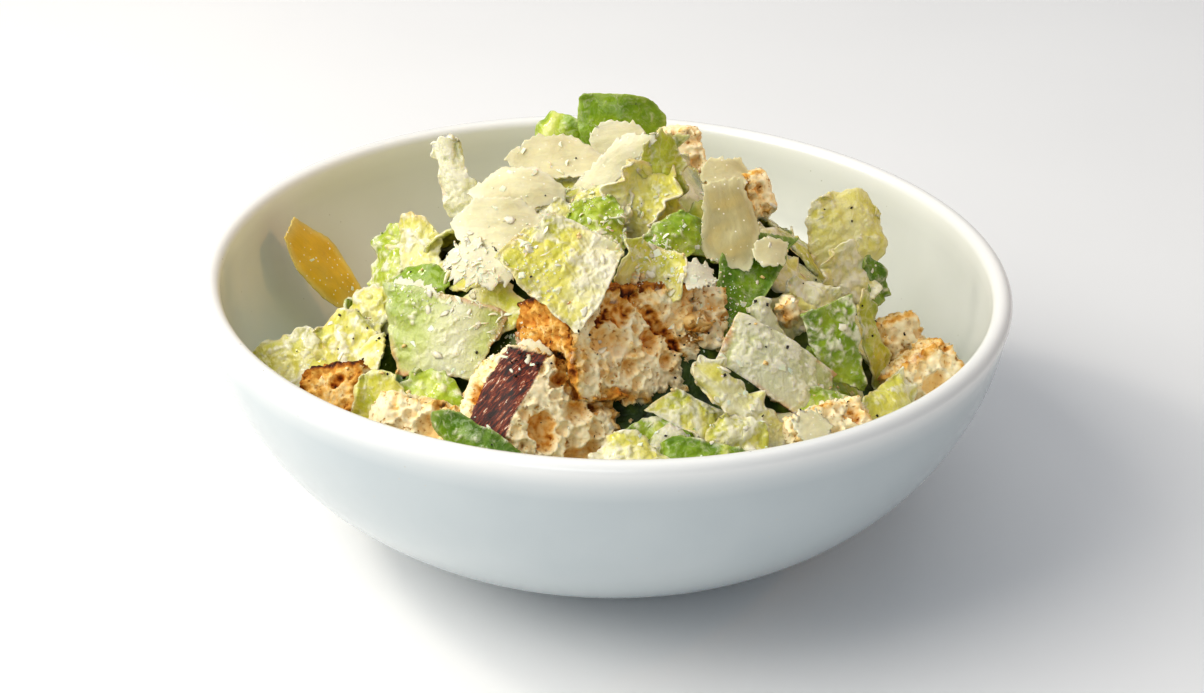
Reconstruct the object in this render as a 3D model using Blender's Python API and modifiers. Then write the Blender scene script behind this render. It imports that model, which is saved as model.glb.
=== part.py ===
"""Caesar salad in a round white bowl: a mound of dressed romaine, rustic croutons and shaved hard cheese.

Frame: +Z up, the bowl's axis on Z, its foot on Z = 0. -Y is the side of the salad that faces the guest.
Lengths below are in millimetres and angles in degrees; MM turns them to Blender's metres.
"""

import math

import bmesh
import bpy
from mathutils import Matrix, Vector, noise

MM = 0.001

# The bowl.
BOWL_RADIUS = 110.0
LIP_HEIGHT = 71.5  # the level of the lip's widest circle
LIP_ROUND = 2.7  # radius of the rolled lip
OUTER_DEPTH = 71.8  # depth at which the outer curve would close
OUTER_POWER = 1.76
OUTER_ROUND = 0.348
INNER_DEPTH = 63.5
INNER_POWER = 1.9
INNER_ROUND = 0.33
FLOOR_RADIUS = 36.0
FOOT_RADIUS = 44.0
FOOT_WIDTH = 5.5
FOOT_RECESS = 2.4
BOWL_STEPS = 56

# The mound of lettuce. Its reach is the distance at which a flank has fallen most of the way.
# The leaves fill the bowl higher towards the guest than at the back.
FILL_FRONT = 48.0
FILL_BACK = 28.0
FILL_FROM, FILL_TO = -28.0, 22.0
MOUND_TOP = 98.0
MOUND_POWER = 3.0
REACH_LEFT = 60.0
REACH_RIGHT = 72.0
REACH_FRONT = 70.0
REACH_BACK = 58.0
MOUND_BASE = 12.0
LEAF_LIFT = 3.0  # how far the leaves' middles stand off the mound they grow from
HEAP_STEPS = 28
HEAP_TOP = 135.0
HEAP_VOXEL = 1.9
HEAP_FACES = 1150

GAP = 0.45  # clearance between neighbours, a little over the least that meshes need
MERGE = 1e-5
NOISE_SEED = 7

# Croutons: centre, (width, height, depth), the way the broad face looks as (bearing, elevation), its
# turn, the width of the crust that cuts off its front left edge, and how far each side spreads
# towards the foot for every millimetre of height. Bearing 0 looks to the front, positive to the right.
CROUTONS = {
    "crouton_crust": ((-16, -67.5, 63), (35.5, 29, 22), (28, 32), -25, 8, 0.3),
    "crouton_middle": ((1, -50.5, 75), (39, 29, 26), (36, 25), -8, 0, 0),
    "crouton_high": ((15.5, -42, 79.5), (27, 19, 17), (30, 42), -20, 0, 0),
    "crouton_left": ((-68, -50, 57), (17, 14, 15), (-20, 45), 20, 0, 0),
    "crouton_left_front": ((-46, -66, 55), (25, 18, 19), (-10, 40), -8, 5, 0),
    "crouton_right": ((85, -34, 56), (19, 20, 17), (20, 30), 25, 5, 0),
    "crouton_right_front": ((56, -64, 57), (21, 15, 18), (15, 40), 12, 0, 0),
    "crouton_crumb": ((47, -38, 80), (6, 6, 5), (30, 30), 25, 0, 0),
    "crouton_right_back": ((80, -8, 56), (12, 15, 12), (20, 30), 10, 0, 0),
    "crouton_top_back": ((20, 12, 99), (10, 20, 11), (15, 30), 4, 0, 0),
    "crouton_behind": ((39, 2, 95), (8, 12, 8), (25, 30), 10, 0, 0),
}

# Cheese shavings: centre, (width, length), facing, turn, bend across the width and twist.
SHAVINGS = {
    "shaving_wide": ((-28, -32, 99), (27, 15), (-8, 44), 4, 50, 6),
    "shaving_upper": ((-24, -18, 103), (26, 13), (-5, 52), 2, 30, -8),
    "shaving_top": ((-15, -3, 106), (26, 14), (0, 54), 8, 26, 10),
    "shaving_peak": ((2, 8, 107), (15, 12), (-8, 34), 12, 18, 6),
    "shaving_edge": ((-2, -13, 106), (7, 28), (-30, 20), -38, 20, 12),
    "shaving_right": ((31, -29, 99), (16, 25), (10, 30), 10, 34, 10),
    "shaving_right_small": ((44, -31.5, 92.5), (10, 9), (25, 40), -20, 20, 5),
    "shaving_wall": ((-81, 34, 54), (18, 34), (62, 32), 24, 12, 4),
    "shaving_ragged": ((-33, -40, 92), (19, 11), (-20, 42), -10, 24, -8),
    "shaving_low_right": ((52, -73, 66), (9, 9), (20, 52), 15, 20, 4),
    "shaving_on_rib": ((-51, -24, 77), (15, 5), (-40, 44), 8, 20, 0),
    "shaving_curl": ((23, -47, 94), (10, 7), (25, 50), -12, 40, 10),
    "shaving_between": ((-18, -63, 80), (11, 5), (-8, 60), -8, 50, 0),
    "shaving_far": ((31, 0, 102), (14, 10), (10, 50), -15, 26, 8),
}

# Leaves that stand clear of the mound: centre, (width, length), facing, turn, bend and thickness.
STANDING_LEAVES = {
    "leaf_top": ((3, 20, 107), (25, 17), (0, 24), 4, 36, 1.6),
    "leaf_top_left": ((-14, 25, 101), (16, 12), (-10, 30), -20, 40, 1.6),
    "rib_left": ((-42, 2, 96), (10, 23), (-10, 18), 23, 40, 2.6),
}

# The larger leaves of the mound: (x, y), lift over the mound, (width, length), facing, turn and bend.
HEAP_LEAVES = [
    ((8, -16), 0, (20, 32), (10, 20), -8, 60),
    ((-8, -28), 2, (18, 16), (-10, 40), 30, 30),
    ((-12, -46), 4, (30, 34), (0, 38), 14, 30),
    ((12, -41), 3, (20, 16), (10, 50), -20, 60),
    ((17, -30), 2, (18, 14), (15, 50), 20, 30),
    ((36, -36), 3, (24, 36), (30, 36), -48, 40),
    ((-40, -45), 4, (34, 28), (-24, 38), -10, 36),
    ((-82, -22), 4, (26, 24), (-30, 60), 20, 50),
    ((-58, -46), 5, (18, 24), (-28, 40), 10, 60),
    ((-52, 2), 4, (24, 26), (-50, 40), 30, 30),
    ((-49, -22), 2, (20, 10), (-40, 50), 12, 20),
    ((-42, -60), 2, (20, 16), (-20, 45), -10, 40),
    ((-27, -79), 2, (30, 9), (-10, 60), -28, 30),
    ((21, -68), 3, (24, 15), (10, 45), -24, 40),
    ((34, -66), 4, (12, 32), (20, 40), 32, 30),
    ((42, -54), 5, (32, 24), (24, 40), -30, 24),
    ((58, -42), 5, (20, 24), (30, 30), 0, 30),
    ((69, -34), 4, (10, 30), (40, 25), 4, 20),
    ((62, 12), 6, (26, 26), (40, 30), 0, 50),
    ((68, -6), 5, (18, 18), (40, 30), 10, 40),
    ((24, -82), 2, (22, 12), (10, 60), -18, 40),
    ((8, -84), 2, (18, 12), (0, 60), 10, 40),
    ((57, -58), 3, (16, 9), (30, 50), -28, 30),
    ((74, -50), 3, (18, 14), (30, 60), 20, 40),
    ((38, -20), 4, (12, 26), (20, 30), -6, 40),
    ((-10, 34), 5, (30, 26), (170, 50), 20, 40),
    ((26, 40), 5, (28, 30), (150, 45), -30, 40),
    ((-44, 30), 5, (26, 30), (220, 45), 40, 50),
    ((-6, 62), 5, (34, 26), (180, 50), 0, 30),
    ((46, 52), 4, (26, 26), (140, 50), 20, 40),
    ((-40, 62), 4, (28, 24), (210, 55), -20, 50),
    ((70, 32), 4, (22, 26), (110, 50), 10, 40),
    ((-72, 18), 4, (22, 26), (-80, 50), 10, 50),
    ((16, 82), 4, (28, 18), (175, 60), 10, 40),
    ((-88, 6), 3, (16, 20), (-90, 60), 0, 40),
    ((6, 14), 2, (28, 20), (170, 62), 10, 40),
    ((-26, 12), 2, (26, 20), (195, 58), -20, 40),
    ((44, 24), 4, (24, 24), (130, 48), 20, 40),
    ((8, 50), 4, (28, 22), (170, 50), 30, 40),
    ((-24, 46), 4, (26, 24), (200, 50), -30, 40),
    ((-60, 40), 4, (24, 24), (235, 50), 10, 40),
    ((34, 66), 4, (26, 20), (155, 55), -20, 40),
    ((-20, 78), 4, (26, 18), (185, 60), 20, 40),
    ((-18, -8), 0, (30, 14), (0, 50), 10, 30),
    ((-24, -24), 0, (28, 14), (0, 50), -6, 30),
]


def clear_scene():
    for obj in list(bpy.data.objects):
        bpy.data.objects.remove(obj)


def new_collection(name, hidden=False):
    collection = bpy.data.collections.new(name)
    collection.hide_render = hidden
    bpy.context.scene.collection.children.link(collection)
    return collection


def material(name, colour, roughness):
    """A Principled BSDF material in an sRGB-like colour given as linear values."""
    made = bpy.data.materials.new(name)
    made.use_nodes = True
    shader = made.node_tree.nodes["Principled BSDF"]
    shader.inputs["Base Color"].default_value = (*colour, 1.0)
    shader.inputs["Roughness"].default_value = roughness
    made.diffuse_color = (*colour, 1.0)
    return made


def add_object(name, bm, collection, finish=None, smooth=True):
    """Turns a bmesh into a named object, shaded smooth but with its real edges kept sharp."""
    mesh = bpy.data.meshes.new(name)
    bm.to_mesh(mesh)
    bm.free()
    if smooth:
        mesh.shade_smooth()
        mesh.set_sharp_from_angle(angle=math.radians(40))
    obj = bpy.data.objects.new(name, mesh)
    if finish:
        mesh.materials.append(finish)
    collection.objects.link(obj)
    return obj


def evaluated_mesh(obj):
    """A new mesh with the object's modifiers applied."""
    graph = bpy.context.evaluated_depsgraph_get()
    return bpy.data.meshes.new_from_object(obj.evaluated_get(graph))


def outer_radius(depth):
    """The bowl's outside radius at a depth below the lip's widest circle."""
    return (BOWL_RADIUS - 0.6) * (1 - (depth / OUTER_DEPTH) ** OUTER_POWER) ** OUTER_ROUND


def inner_radius(depth):
    """The bowl's inside radius at a depth below the lip's widest circle."""
    reach = max(0.0, 1 - (depth / INNER_DEPTH) ** INNER_POWER)
    return (BOWL_RADIUS - 2 * LIP_ROUND) * reach**INNER_ROUND


def turned(name, profile, steps, collection, finish=None):
    """A profile of (radius, height) points in millimetres, turned about Z with a Screw modifier."""
    bm = bmesh.new()
    points = [bm.verts.new((radius * MM, 0, height * MM)) for radius, height in profile]
    for first, second in zip(points, points[1:]):
        bm.edges.new((first, second))
    obj = add_object(name, bm, collection, finish, smooth=False)
    screw = obj.modifiers.new("turn", "SCREW")
    screw.steps = steps
    screw.render_steps = steps
    screw.use_merge_vertices = True
    screw.merge_threshold = 0.0001
    screw.use_smooth_shade = True
    return obj


def inside_points():
    """The bowl's inside as (radius, height) points, from the edge of its flat floor up towards the lip."""
    depths = [INNER_DEPTH * share for share in (0.97, 0.88, 0.72, 0.5, 0.25)]
    rising = [(inner_radius(depth), LIP_HEIGHT - depth) for depth in depths]
    return [(FLOOR_RADIUS, LIP_HEIGHT - INNER_DEPTH), *rising]


def bowl_profile():
    """Floor of the bowl, up its inside, over the lip, down its outside and under the foot."""
    outer_depths = [OUTER_DEPTH * share for share in (0.05, 0.2, 0.4, 0.58, 0.73, 0.85, 0.935)]
    lip_centre = BOWL_RADIUS - LIP_ROUND
    profile = [(0, LIP_HEIGHT - INNER_DEPTH), *inside_points()]
    for angle in (180, 135, 90, 45, 0):
        out, rise = math.cos(math.radians(angle)), math.sin(math.radians(angle))
        profile.append((lip_centre + LIP_ROUND * out, LIP_HEIGHT + LIP_ROUND * rise))
    profile += [(outer_radius(depth), LIP_HEIGHT - depth) for depth in outer_depths]
    foot_inside = FOOT_RADIUS - FOOT_WIDTH
    profile += [
        (FOOT_RADIUS + 0.6, 2.6),
        (FOOT_RADIUS, 0),
        (foot_inside, 0),
        (foot_inside - 1.4, FOOT_RECESS),
        (0, FOOT_RECESS),
    ]
    return profile


def mound_height(x, y):
    """Height of the mound's general surface, which the leaves lie on."""
    reach_x = REACH_LEFT if x < 0 else REACH_RIGHT
    reach_y = REACH_FRONT if y < 0 else REACH_BACK
    share = math.hypot(x / reach_x, y / reach_y)
    back = min(1.0, max(0.0, (y - FILL_FROM) / (FILL_TO - FILL_FROM)))
    fill = FILL_FRONT + (FILL_BACK - FILL_FRONT) * back * back * (3 - 2 * back)
    return fill + (MOUND_TOP - fill) * math.exp(-(share**MOUND_POWER))


def facing_matrix(at, facing, turn):
    """A frame at a point whose Z looks along (bearing, elevation) and whose Y is the way up, then turned about Z."""
    bearing, elevation = (math.radians(angle) for angle in facing)
    normal = Vector(
        (
            math.sin(bearing) * math.cos(elevation),
            -math.cos(bearing) * math.cos(elevation),
            math.sin(elevation),
        )
    )
    up = Vector((0, 0, 1))
    up = (up - normal * up.dot(normal)).normalized()
    side = up.cross(normal)
    rotation = Matrix((side, up, normal)).transposed().to_4x4()
    spin = Matrix.Rotation(math.radians(turn), 4, "Z")
    return Matrix.Translation(Vector(at) * MM) @ rotation @ spin


def keep_largest_body(mesh):
    """Drops the crumbs that a cut leaves beside the main body."""
    bm = bmesh.new()
    bm.from_mesh(mesh)
    bmesh.ops.remove_doubles(bm, verts=bm.verts, dist=MERGE)
    left = set(bm.verts)
    bodies = []
    while left:
        found = {left.pop()}
        edge_of_search = list(found)
        while edge_of_search:
            vert = edge_of_search.pop()
            near = {edge.other_vert(vert) for edge in vert.link_edges} - found
            found |= near
            edge_of_search += near
        left -= found
        bodies.append(found)
    bodies.sort(key=len)
    loose = [vert for body in bodies[:-1] for vert in body]
    bmesh.ops.delete(bm, geom=loose, context="VERTS")
    bm.to_mesh(mesh)
    bm.free()


def swollen_copy(obj, cutters):
    """A copy of a piece grown by the gap, to cut its neighbours with."""
    cutter = bpy.data.objects.new(obj.name + "_cutter", obj.data.copy())
    cutter.data.materials.clear()
    cutters.objects.link(cutter)
    swell = cutter.modifiers.new("swell", "DISPLACE")
    swell.strength = GAP * MM
    swell.mid_level = 0
    cutter.data = evaluated_mesh(cutter)
    cutter.modifiers.clear()
    cutter.matrix_world = obj.matrix_world
    cutter.display_type = "WIRE"
    cutter.hide_render = True
    return cutter


def near_each_other(first, second):
    """True where the boxes round two objects meet."""
    boxes = []
    for obj in (first, second):
        points = [obj.matrix_world @ vert.co for vert in obj.data.vertices]
        boxes.append([(min(p[i] for p in points), max(p[i] for p in points)) for i in range(3)])
    return all(a[0] <= b[1] and b[0] <= a[1] for a, b in zip(*boxes))


def cut_with(obj, others, operation="DIFFERENCE"):
    """Cuts an object by others with Boolean modifiers, applies them and keeps one body."""
    for other in others:
        cut = obj.modifiers.new("cut", "BOOLEAN")
        cut.operation = operation
        cut.object = other
        cut.solver = "EXACT"
    if others:
        mesh = evaluated_mesh(obj)
        obj.modifiers.clear()
        obj.data = mesh
        keep_largest_body(mesh)


def crouton(name, at, size, facing, turn, crust, spread, collection, finish):
    """A torn block of bread: its plan carried up, then rounded towards a ball and lumpy all over."""
    width, height, depth = size
    left, right, back, front = -width / 2, width / 2, -depth / 2, depth / 2
    plan = [(right, back), (left, back), (left, front - crust), (left + crust, front), (right, front)]
    if not crust:
        plan = [(right, back), (left, back), (left, front), (right, front)]
    bm = bmesh.new()
    corners = [bm.verts.new((x, -height / 2, z)) for x, z in plan]
    base = bm.faces.new(corners)
    raised = bmesh.ops.extrude_face_region(bm, geom=[base])["geom"]
    for vert in (item for item in raised if isinstance(item, bmesh.types.BMVert)):
        vert.co.y = height / 2
    for vert in bm.verts:
        vert.co.x -= math.copysign(spread, vert.co.x) * vert.co.y
    bmesh.ops.recalc_face_normals(bm, faces=bm.faces)
    bmesh.ops.triangulate(bm, faces=bm.faces)
    bmesh.ops.subdivide_edges(bm, edges=bm.edges, cuts=2, use_grid_fill=True)
    seed = Vector((sum(at), len(name), size[0]))
    for vert in bm.verts:
        ball = Vector(size) * 0.62
        direction = Vector(vert.co[i] / size[i] for i in range(3)).normalized()
        ball = Vector(ball[i] * direction[i] for i in range(3))
        vert.co = vert.co.lerp(ball, 0.2)
        vert.co += noise.noise_vector(vert.co * 0.11 + seed) * 0.06 * sum(size) / 3
        vert.co *= MM
    bmesh.ops.triangulate(bm, faces=bm.faces)
    obj = add_object(name, bm, collection, finish)
    obj.matrix_world = facing_matrix(at, facing, turn)
    return obj


def curved_sheet(name, at, size, facing, turn, bend, twist, thickness, grid, ragged, collection, finish):
    """A thin sheet rolled by an angle across its width, with a wandering outline, given a thickness."""
    width, length = size
    across, along = grid
    bm = bmesh.new()
    bmesh.ops.create_grid(bm, x_segments=across, y_segments=along, size=0.5)
    seed = Vector((sum(at), len(name), width))
    roll = math.radians(bend)
    for vert in bm.verts:
        x, y = vert.co.x, vert.co.y
        wander = 1 + ragged * noise.noise(Vector((x * 3, y * 3, 0)) + seed)
        narrowing = 1 - 0.35 * (2 * abs(y)) ** 3
        x *= width * narrowing * wander
        y *= length * (1 - 0.2 * (2 * vert.co.x) ** 2) * wander
        radius = width / roll
        angle = x / radius
        sheet = Vector((radius * math.sin(angle), y, radius * (math.cos(angle) - 1) + bend * width / 900))
        sheet = Matrix.Rotation(math.radians(twist) * vert.co.y * 2, 3, "Y") @ sheet
        vert.co = sheet * MM
    obj = add_object(name, bm, collection, finish)
    thick = obj.modifiers.new("thickness", "SOLIDIFY")
    thick.thickness = thickness * MM
    thick.offset = -1
    obj.data = evaluated_mesh(obj)
    obj.modifiers.clear()
    obj.matrix_world = facing_matrix(at, facing, turn)
    return obj


def mound_blank(name, collection):
    """The mound as a closed block: a gridded top over a flat base, wider than the bowl, which trims it."""
    bm = bmesh.new()
    cells = 40
    reach = BOWL_RADIUS
    bmesh.ops.create_grid(bm, x_segments=cells, y_segments=cells, size=reach * MM)
    top = list(bm.faces)
    skirt = bmesh.ops.extrude_face_region(bm, geom=top)["geom"]
    base = {item for item in skirt if isinstance(item, bmesh.types.BMVert)}
    for vert in bm.verts:
        if vert in base:
            vert.co.z = MOUND_BASE * 0.3 * MM
        else:
            vert.co.z = mound_height(vert.co.x / MM, vert.co.y / MM) * MM
    bmesh.ops.recalc_face_normals(bm, faces=bm.faces)
    return add_object(name, bm, collection)


def interior_profile():
    """The room inside the bowl, less the gap, carried straight up past the lip."""
    inside = [(radius - 2 * GAP, height + GAP) for radius, height in inside_points()]
    wall = BOWL_RADIUS - 2 * LIP_ROUND - 2 * GAP
    return [(0, HEAP_TOP), (wall, HEAP_TOP), (wall, LIP_HEIGHT), *reversed(inside), (0, inside[0][1])]


def lettuce_heap(collection, helpers, finish):
    """The heap as one body: mound and leaves fused by a voxel remesh, thinned and trimmed to the bowl."""
    heap = mound_blank("lettuce_heap", collection)
    slabs = []
    for (x, y), lift, size, facing, turn, bend in HEAP_LEAVES:
        at = (x, y, mound_height(x, y) + LEAF_LIFT + lift)
        slabs.append(
            curved_sheet("slab", at, size, facing, turn, bend, 6, 4.2, (4, 4), 0.2, helpers, None)
        )
    bm = bmesh.new()
    bm.from_mesh(heap.data)
    for slab in slabs:
        slab.data.transform(slab.matrix_world)
        bm.from_mesh(slab.data)
        bpy.data.objects.remove(slab)
    bm.to_mesh(heap.data)
    bm.free()
    fuse = heap.modifiers.new("fuse", "REMESH")
    fuse.mode = "VOXEL"
    fuse.voxel_size = HEAP_VOXEL * MM
    faces = len(evaluated_mesh(heap).polygons) * 2
    thin = heap.modifiers.new("thin", "DECIMATE")
    thin.ratio = HEAP_FACES / faces
    heap.data = evaluated_mesh(heap)
    heap.modifiers.clear()
    interior = turned("interior", interior_profile(), HEAP_STEPS, helpers)
    interior.data = evaluated_mesh(interior)
    interior.modifiers.clear()
    interior.hide_render = True
    cut_with(heap, [interior], "INTERSECT")
    heap.data.materials.clear()
    heap.data.materials.append(finish)
    return heap, interior


def main():
    clear_scene()
    noise.seed_set(NOISE_SEED)
    salad = new_collection("caesar_salad")
    helpers = new_collection("cutters", hidden=True)
    glaze = material("white_glaze", (0.82, 0.84, 0.84), 0.18)
    lettuce = material("romaine", (0.42, 0.52, 0.16), 0.45)
    green = material("romaine_outer_leaf", (0.13, 0.30, 0.04), 0.4)
    pale = material("romaine_rib", (0.66, 0.72, 0.44), 0.4)
    bread = material("toasted_bread", (0.62, 0.36, 0.14), 0.85)
    cheese = material("hard_cheese", (0.80, 0.68, 0.36), 0.5)

    turned("bowl", bowl_profile(), BOWL_STEPS, salad, glaze)
    heap, interior = lettuce_heap(salad, helpers, lettuce)

    toppings = []
    for name, (at, size, facing, turn, crust, spread) in CROUTONS.items():
        toppings.append(crouton(name, at, size, facing, turn, crust, spread, salad, bread))
    for name, (at, size, facing, turn, bend, thickness) in STANDING_LEAVES.items():
        finish = pale if name.startswith("rib") else green
        toppings.append(
            curved_sheet(name, at, size, facing, turn, bend, 4, thickness, (5, 5), 0.25, salad, finish)
        )
    for name, (at, size, facing, turn, bend, twist) in SHAVINGS.items():
        toppings.append(
            curved_sheet(name, at, size, facing, turn, bend, twist, 1.4, (5, 3), 0.3, salad, cheese)
        )
    bpy.context.view_layer.update()

    # Each piece gives way to those placed before it, and the heap gives way to them all.
    cutters = [swollen_copy(topping, helpers) for topping in toppings]
    bpy.context.view_layer.update()
    for number, topping in enumerate(toppings):
        earlier = cutters[:number]
        cut_with(topping, [cutter for cutter in earlier if near_each_other(topping, cutter)])
        cut_with(topping, [interior], "INTERSECT")
    for cutter in cutters:
        cut_with(heap, [cutter])


main()
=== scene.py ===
# %% [markdown]
# # A caesar salad, leaf by leaf
#
# The solids that come with this lesson say where everything is and how large it is. Here each of them
# gets the surface a cook would recognise: crinkled romaine under a creamy dressing, bread torn open on
# its bubbles, thin curls of hard cheese, all in a glazed white bowl.
#
# The first cell loads those solids as a fixed frame. Nothing in it is moved; a finer piece stands in
# for a solid by naming it.

# %% Load the frame
import math
import random

import bmesh
import bpy
from mathutils import Matrix, Vector, kdtree, noise
from mathutils.bvhtree import BVHTree


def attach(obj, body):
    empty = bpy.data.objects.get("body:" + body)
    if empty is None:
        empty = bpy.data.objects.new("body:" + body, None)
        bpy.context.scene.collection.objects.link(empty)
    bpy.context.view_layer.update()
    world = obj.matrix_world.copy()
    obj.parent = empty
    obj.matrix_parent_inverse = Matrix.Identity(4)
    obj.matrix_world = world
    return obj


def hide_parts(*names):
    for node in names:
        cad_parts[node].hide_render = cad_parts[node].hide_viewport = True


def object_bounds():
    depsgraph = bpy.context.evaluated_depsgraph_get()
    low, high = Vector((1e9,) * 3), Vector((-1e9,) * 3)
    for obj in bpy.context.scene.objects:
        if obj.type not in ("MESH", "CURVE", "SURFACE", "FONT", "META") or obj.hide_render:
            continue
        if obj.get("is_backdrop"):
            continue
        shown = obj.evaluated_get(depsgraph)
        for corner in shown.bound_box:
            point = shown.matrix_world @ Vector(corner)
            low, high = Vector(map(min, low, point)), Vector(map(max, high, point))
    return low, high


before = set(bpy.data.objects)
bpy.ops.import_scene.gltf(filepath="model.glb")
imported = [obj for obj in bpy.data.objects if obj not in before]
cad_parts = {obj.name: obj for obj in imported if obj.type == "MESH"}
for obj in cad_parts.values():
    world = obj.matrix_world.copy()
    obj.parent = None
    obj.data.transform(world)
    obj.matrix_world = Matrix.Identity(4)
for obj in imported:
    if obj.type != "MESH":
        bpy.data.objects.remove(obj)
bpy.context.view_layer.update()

# %% [markdown]
# ## Small tools
#
# Food is easiest to think of in millimetres, colours are easiest to name as the hex values of a colour
# picker, and a node tree is a list of nodes joined by links. A few short helpers cover that. A
# pattern's scale counts its cells in a metre, so it is worked out from the size of one cell.

# %% Units and colours
MM = 0.001
BODY = "root"
noise.seed_set(11)


def linear(hex_colour):
    """An sRGB hex colour as the linear RGBA that Blender's sockets take."""
    channels = [int(hex_colour[i : i + 2], 16) / 255 for i in (0, 2, 4)]
    bent = [c / 12.92 if c <= 0.04045 else ((c + 0.055) / 1.055) ** 2.4 for c in channels]
    return (*bent, 1.0)


print("mid grey 808080 is", round(linear("808080")[0], 3), "in linear light")


# %% Nodes and materials
def per_metre(size):
    """The scale of a pattern on Object coordinates whose cells measure a size in millimetres."""
    return 1 / (size * MM)


def add_node(tree, kind, settings=None, inputs=None, links=None, stops=()):
    """Adds a node with its settings, its input values, links into its inputs, and a ramp's stops."""
    node = tree.nodes.new(kind)
    for name, value in (settings or {}).items():
        setattr(node, name, value)
    for name, value in (inputs or {}).items():
        node.inputs[name].default_value = value
    for name, socket in (links or {}).items():
        tree.links.new(socket, node.inputs[name])
    for _ in stops[2:]:
        node.color_ramp.elements.new(0.5)
    for index, (place, colour) in enumerate(stops):
        node.color_ramp.elements[index].position = place
        node.color_ramp.elements[index].color = linear(colour)
    return node


def new_material(name, **sockets):
    """A material with one Principled BSDF, whose constant values are set on its own sockets."""
    made = bpy.data.materials.new(name)
    made.use_nodes = True
    shader = made.node_tree.nodes["Principled BSDF"]
    for socket, value in sockets.items():
        shader.inputs[socket.replace("_", " ")].default_value = value
    return made, made.node_tree, shader


# %% [markdown]
# Two more helpers: a soft step between two values, from which most shapes and masks below are made,
# and one that puts a finished mesh on the salad. Every piece rides on the one body the salad has.


# %% Soft steps and serving
def smooth_step(low, high, value):
    """0 at low, 1 at high, with a soft start and a soft end."""
    share = min(1.0, max(0.0, (value - low) / (high - low)))
    return share * share * (3 - 2 * share)


def serve(name, source, finish, nodes=(), smooth=True):
    """Puts a bmesh on the salad as a named piece, in place of the solids it stands for."""
    mesh = bpy.data.meshes.new(name)
    source.to_mesh(mesh)
    source.free()
    mesh.materials.append(finish)
    if smooth:
        mesh.shade_smooth()
    else:
        mesh.shade_flat()
    piece = bpy.data.objects.new(name, mesh)
    bpy.context.scene.collection.objects.link(piece)
    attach(piece, BODY)
    if nodes:
        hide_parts(*nodes)
    mesh.calc_loop_triangles()
    print(f"{name}: {len(mesh.loop_triangles)} triangles")


# %% [markdown]
# ## Camera, table and light
#
# A portrait lens two thirds of a metre away looks down into the bowl at a little under a third of a
# right angle, and the camera is tipped a little, as when held in the hand. The table is one large
# pale sheet of dull laminate that curves up behind, so that no edge shows. The Standard view keeps
# whites white, and its medium high contrast keeps the shade between the leaves deep.

# %% Camera
# places in metres, the tip to one side in degrees
CAMERA_PLACE, CAMERA_AIM = Vector((0, -0.595, 0.357)), Vector((-0.0008, 0, 0.0486))
CAMERA_TIP = 1.6
camera_data = bpy.data.cameras.new("camera")
camera_data.lens = 72.1
camera_data.sensor_width = 36
camera_data.clip_start, camera_data.clip_end = 0.02, 20
camera = bpy.data.objects.new("camera", camera_data)
bpy.context.scene.collection.objects.link(camera)
bpy.context.scene.camera = camera
camera.location = CAMERA_PLACE
aim = CAMERA_AIM - CAMERA_PLACE
tip = Matrix.Rotation(math.radians(CAMERA_TIP), 3, "Z").to_quaternion()
camera.rotation_mode = "QUATERNION"
camera.rotation_quaternion = aim.to_track_quat("-Z", "Y") @ tip
bpy.context.scene.view_settings.view_transform = "Standard"
bpy.context.scene.view_settings.look = "Medium High Contrast"
bpy.context.scene.view_settings.exposure = 0.05
print("camera looks down by", round(math.degrees(math.asin(-aim.normalized().z)), 1), "degrees")

# %% Table
# in metres: half the sheet's side, where it starts to rise and how steeply, and how far it lies below
TABLE_HALF, RISE_FROM, RISE, BELOW = 3.0, 1.2, 1.4, 0.0004
table_finish, tree, shader = new_material("pale laminate", Roughness=0.6)
place = add_node(tree, "ShaderNodeTexCoord").outputs["Object"]
grain = add_node(
    tree, "ShaderNodeTexNoise", inputs={"Scale": per_metre(167), "Detail": 2.0}, links={"Vector": place}
)
pale = add_node(
    tree, "ShaderNodeValToRGB", links={"Fac": grain.outputs["Fac"]}, stops=[(0.3, "F4F4F4"), (0.7, "F7F7F7")]
)
tree.links.new(pale.outputs["Color"], shader.inputs["Base Color"])
table_mesh = bpy.data.meshes.new("table")
bm = bmesh.new()
bmesh.ops.create_grid(bm, x_segments=24, y_segments=48, size=TABLE_HALF)
for vert in bm.verts:
    beyond = max(0.0, vert.co.y - RISE_FROM)
    vert.co.z = RISE * beyond * beyond - BELOW
bm.to_mesh(table_mesh)
bm.free()
table_mesh.shade_smooth()
table_mesh.materials.append(table_finish)
table = bpy.data.objects.new("table", table_mesh)
bpy.context.scene.collection.objects.link(table)
table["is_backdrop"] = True
print("table is", 2 * TABLE_HALF, "m across")

# %% [markdown]
# Most of the light comes through a large soft window on the left, with a small bright bulb beside it
# that gives the dressing its glints. A faint window in front and a ceiling fill the shade. A narrow
# warm lamp on the right falls on the left half of the bowl, where the cheese glows amber. Its own
# image in the glaze is left out.


# %% Light
def aimed(name, light, place, towards):
    """Puts a light at a place, turned towards a point."""
    lamp = bpy.data.objects.new(name, light)
    bpy.context.scene.collection.objects.link(lamp)
    lamp.location = place
    lamp.rotation_mode = "QUATERNION"
    lamp.rotation_quaternion = (Vector(towards) - lamp.location).to_track_quat("-Z", "Y")
    return lamp


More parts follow.
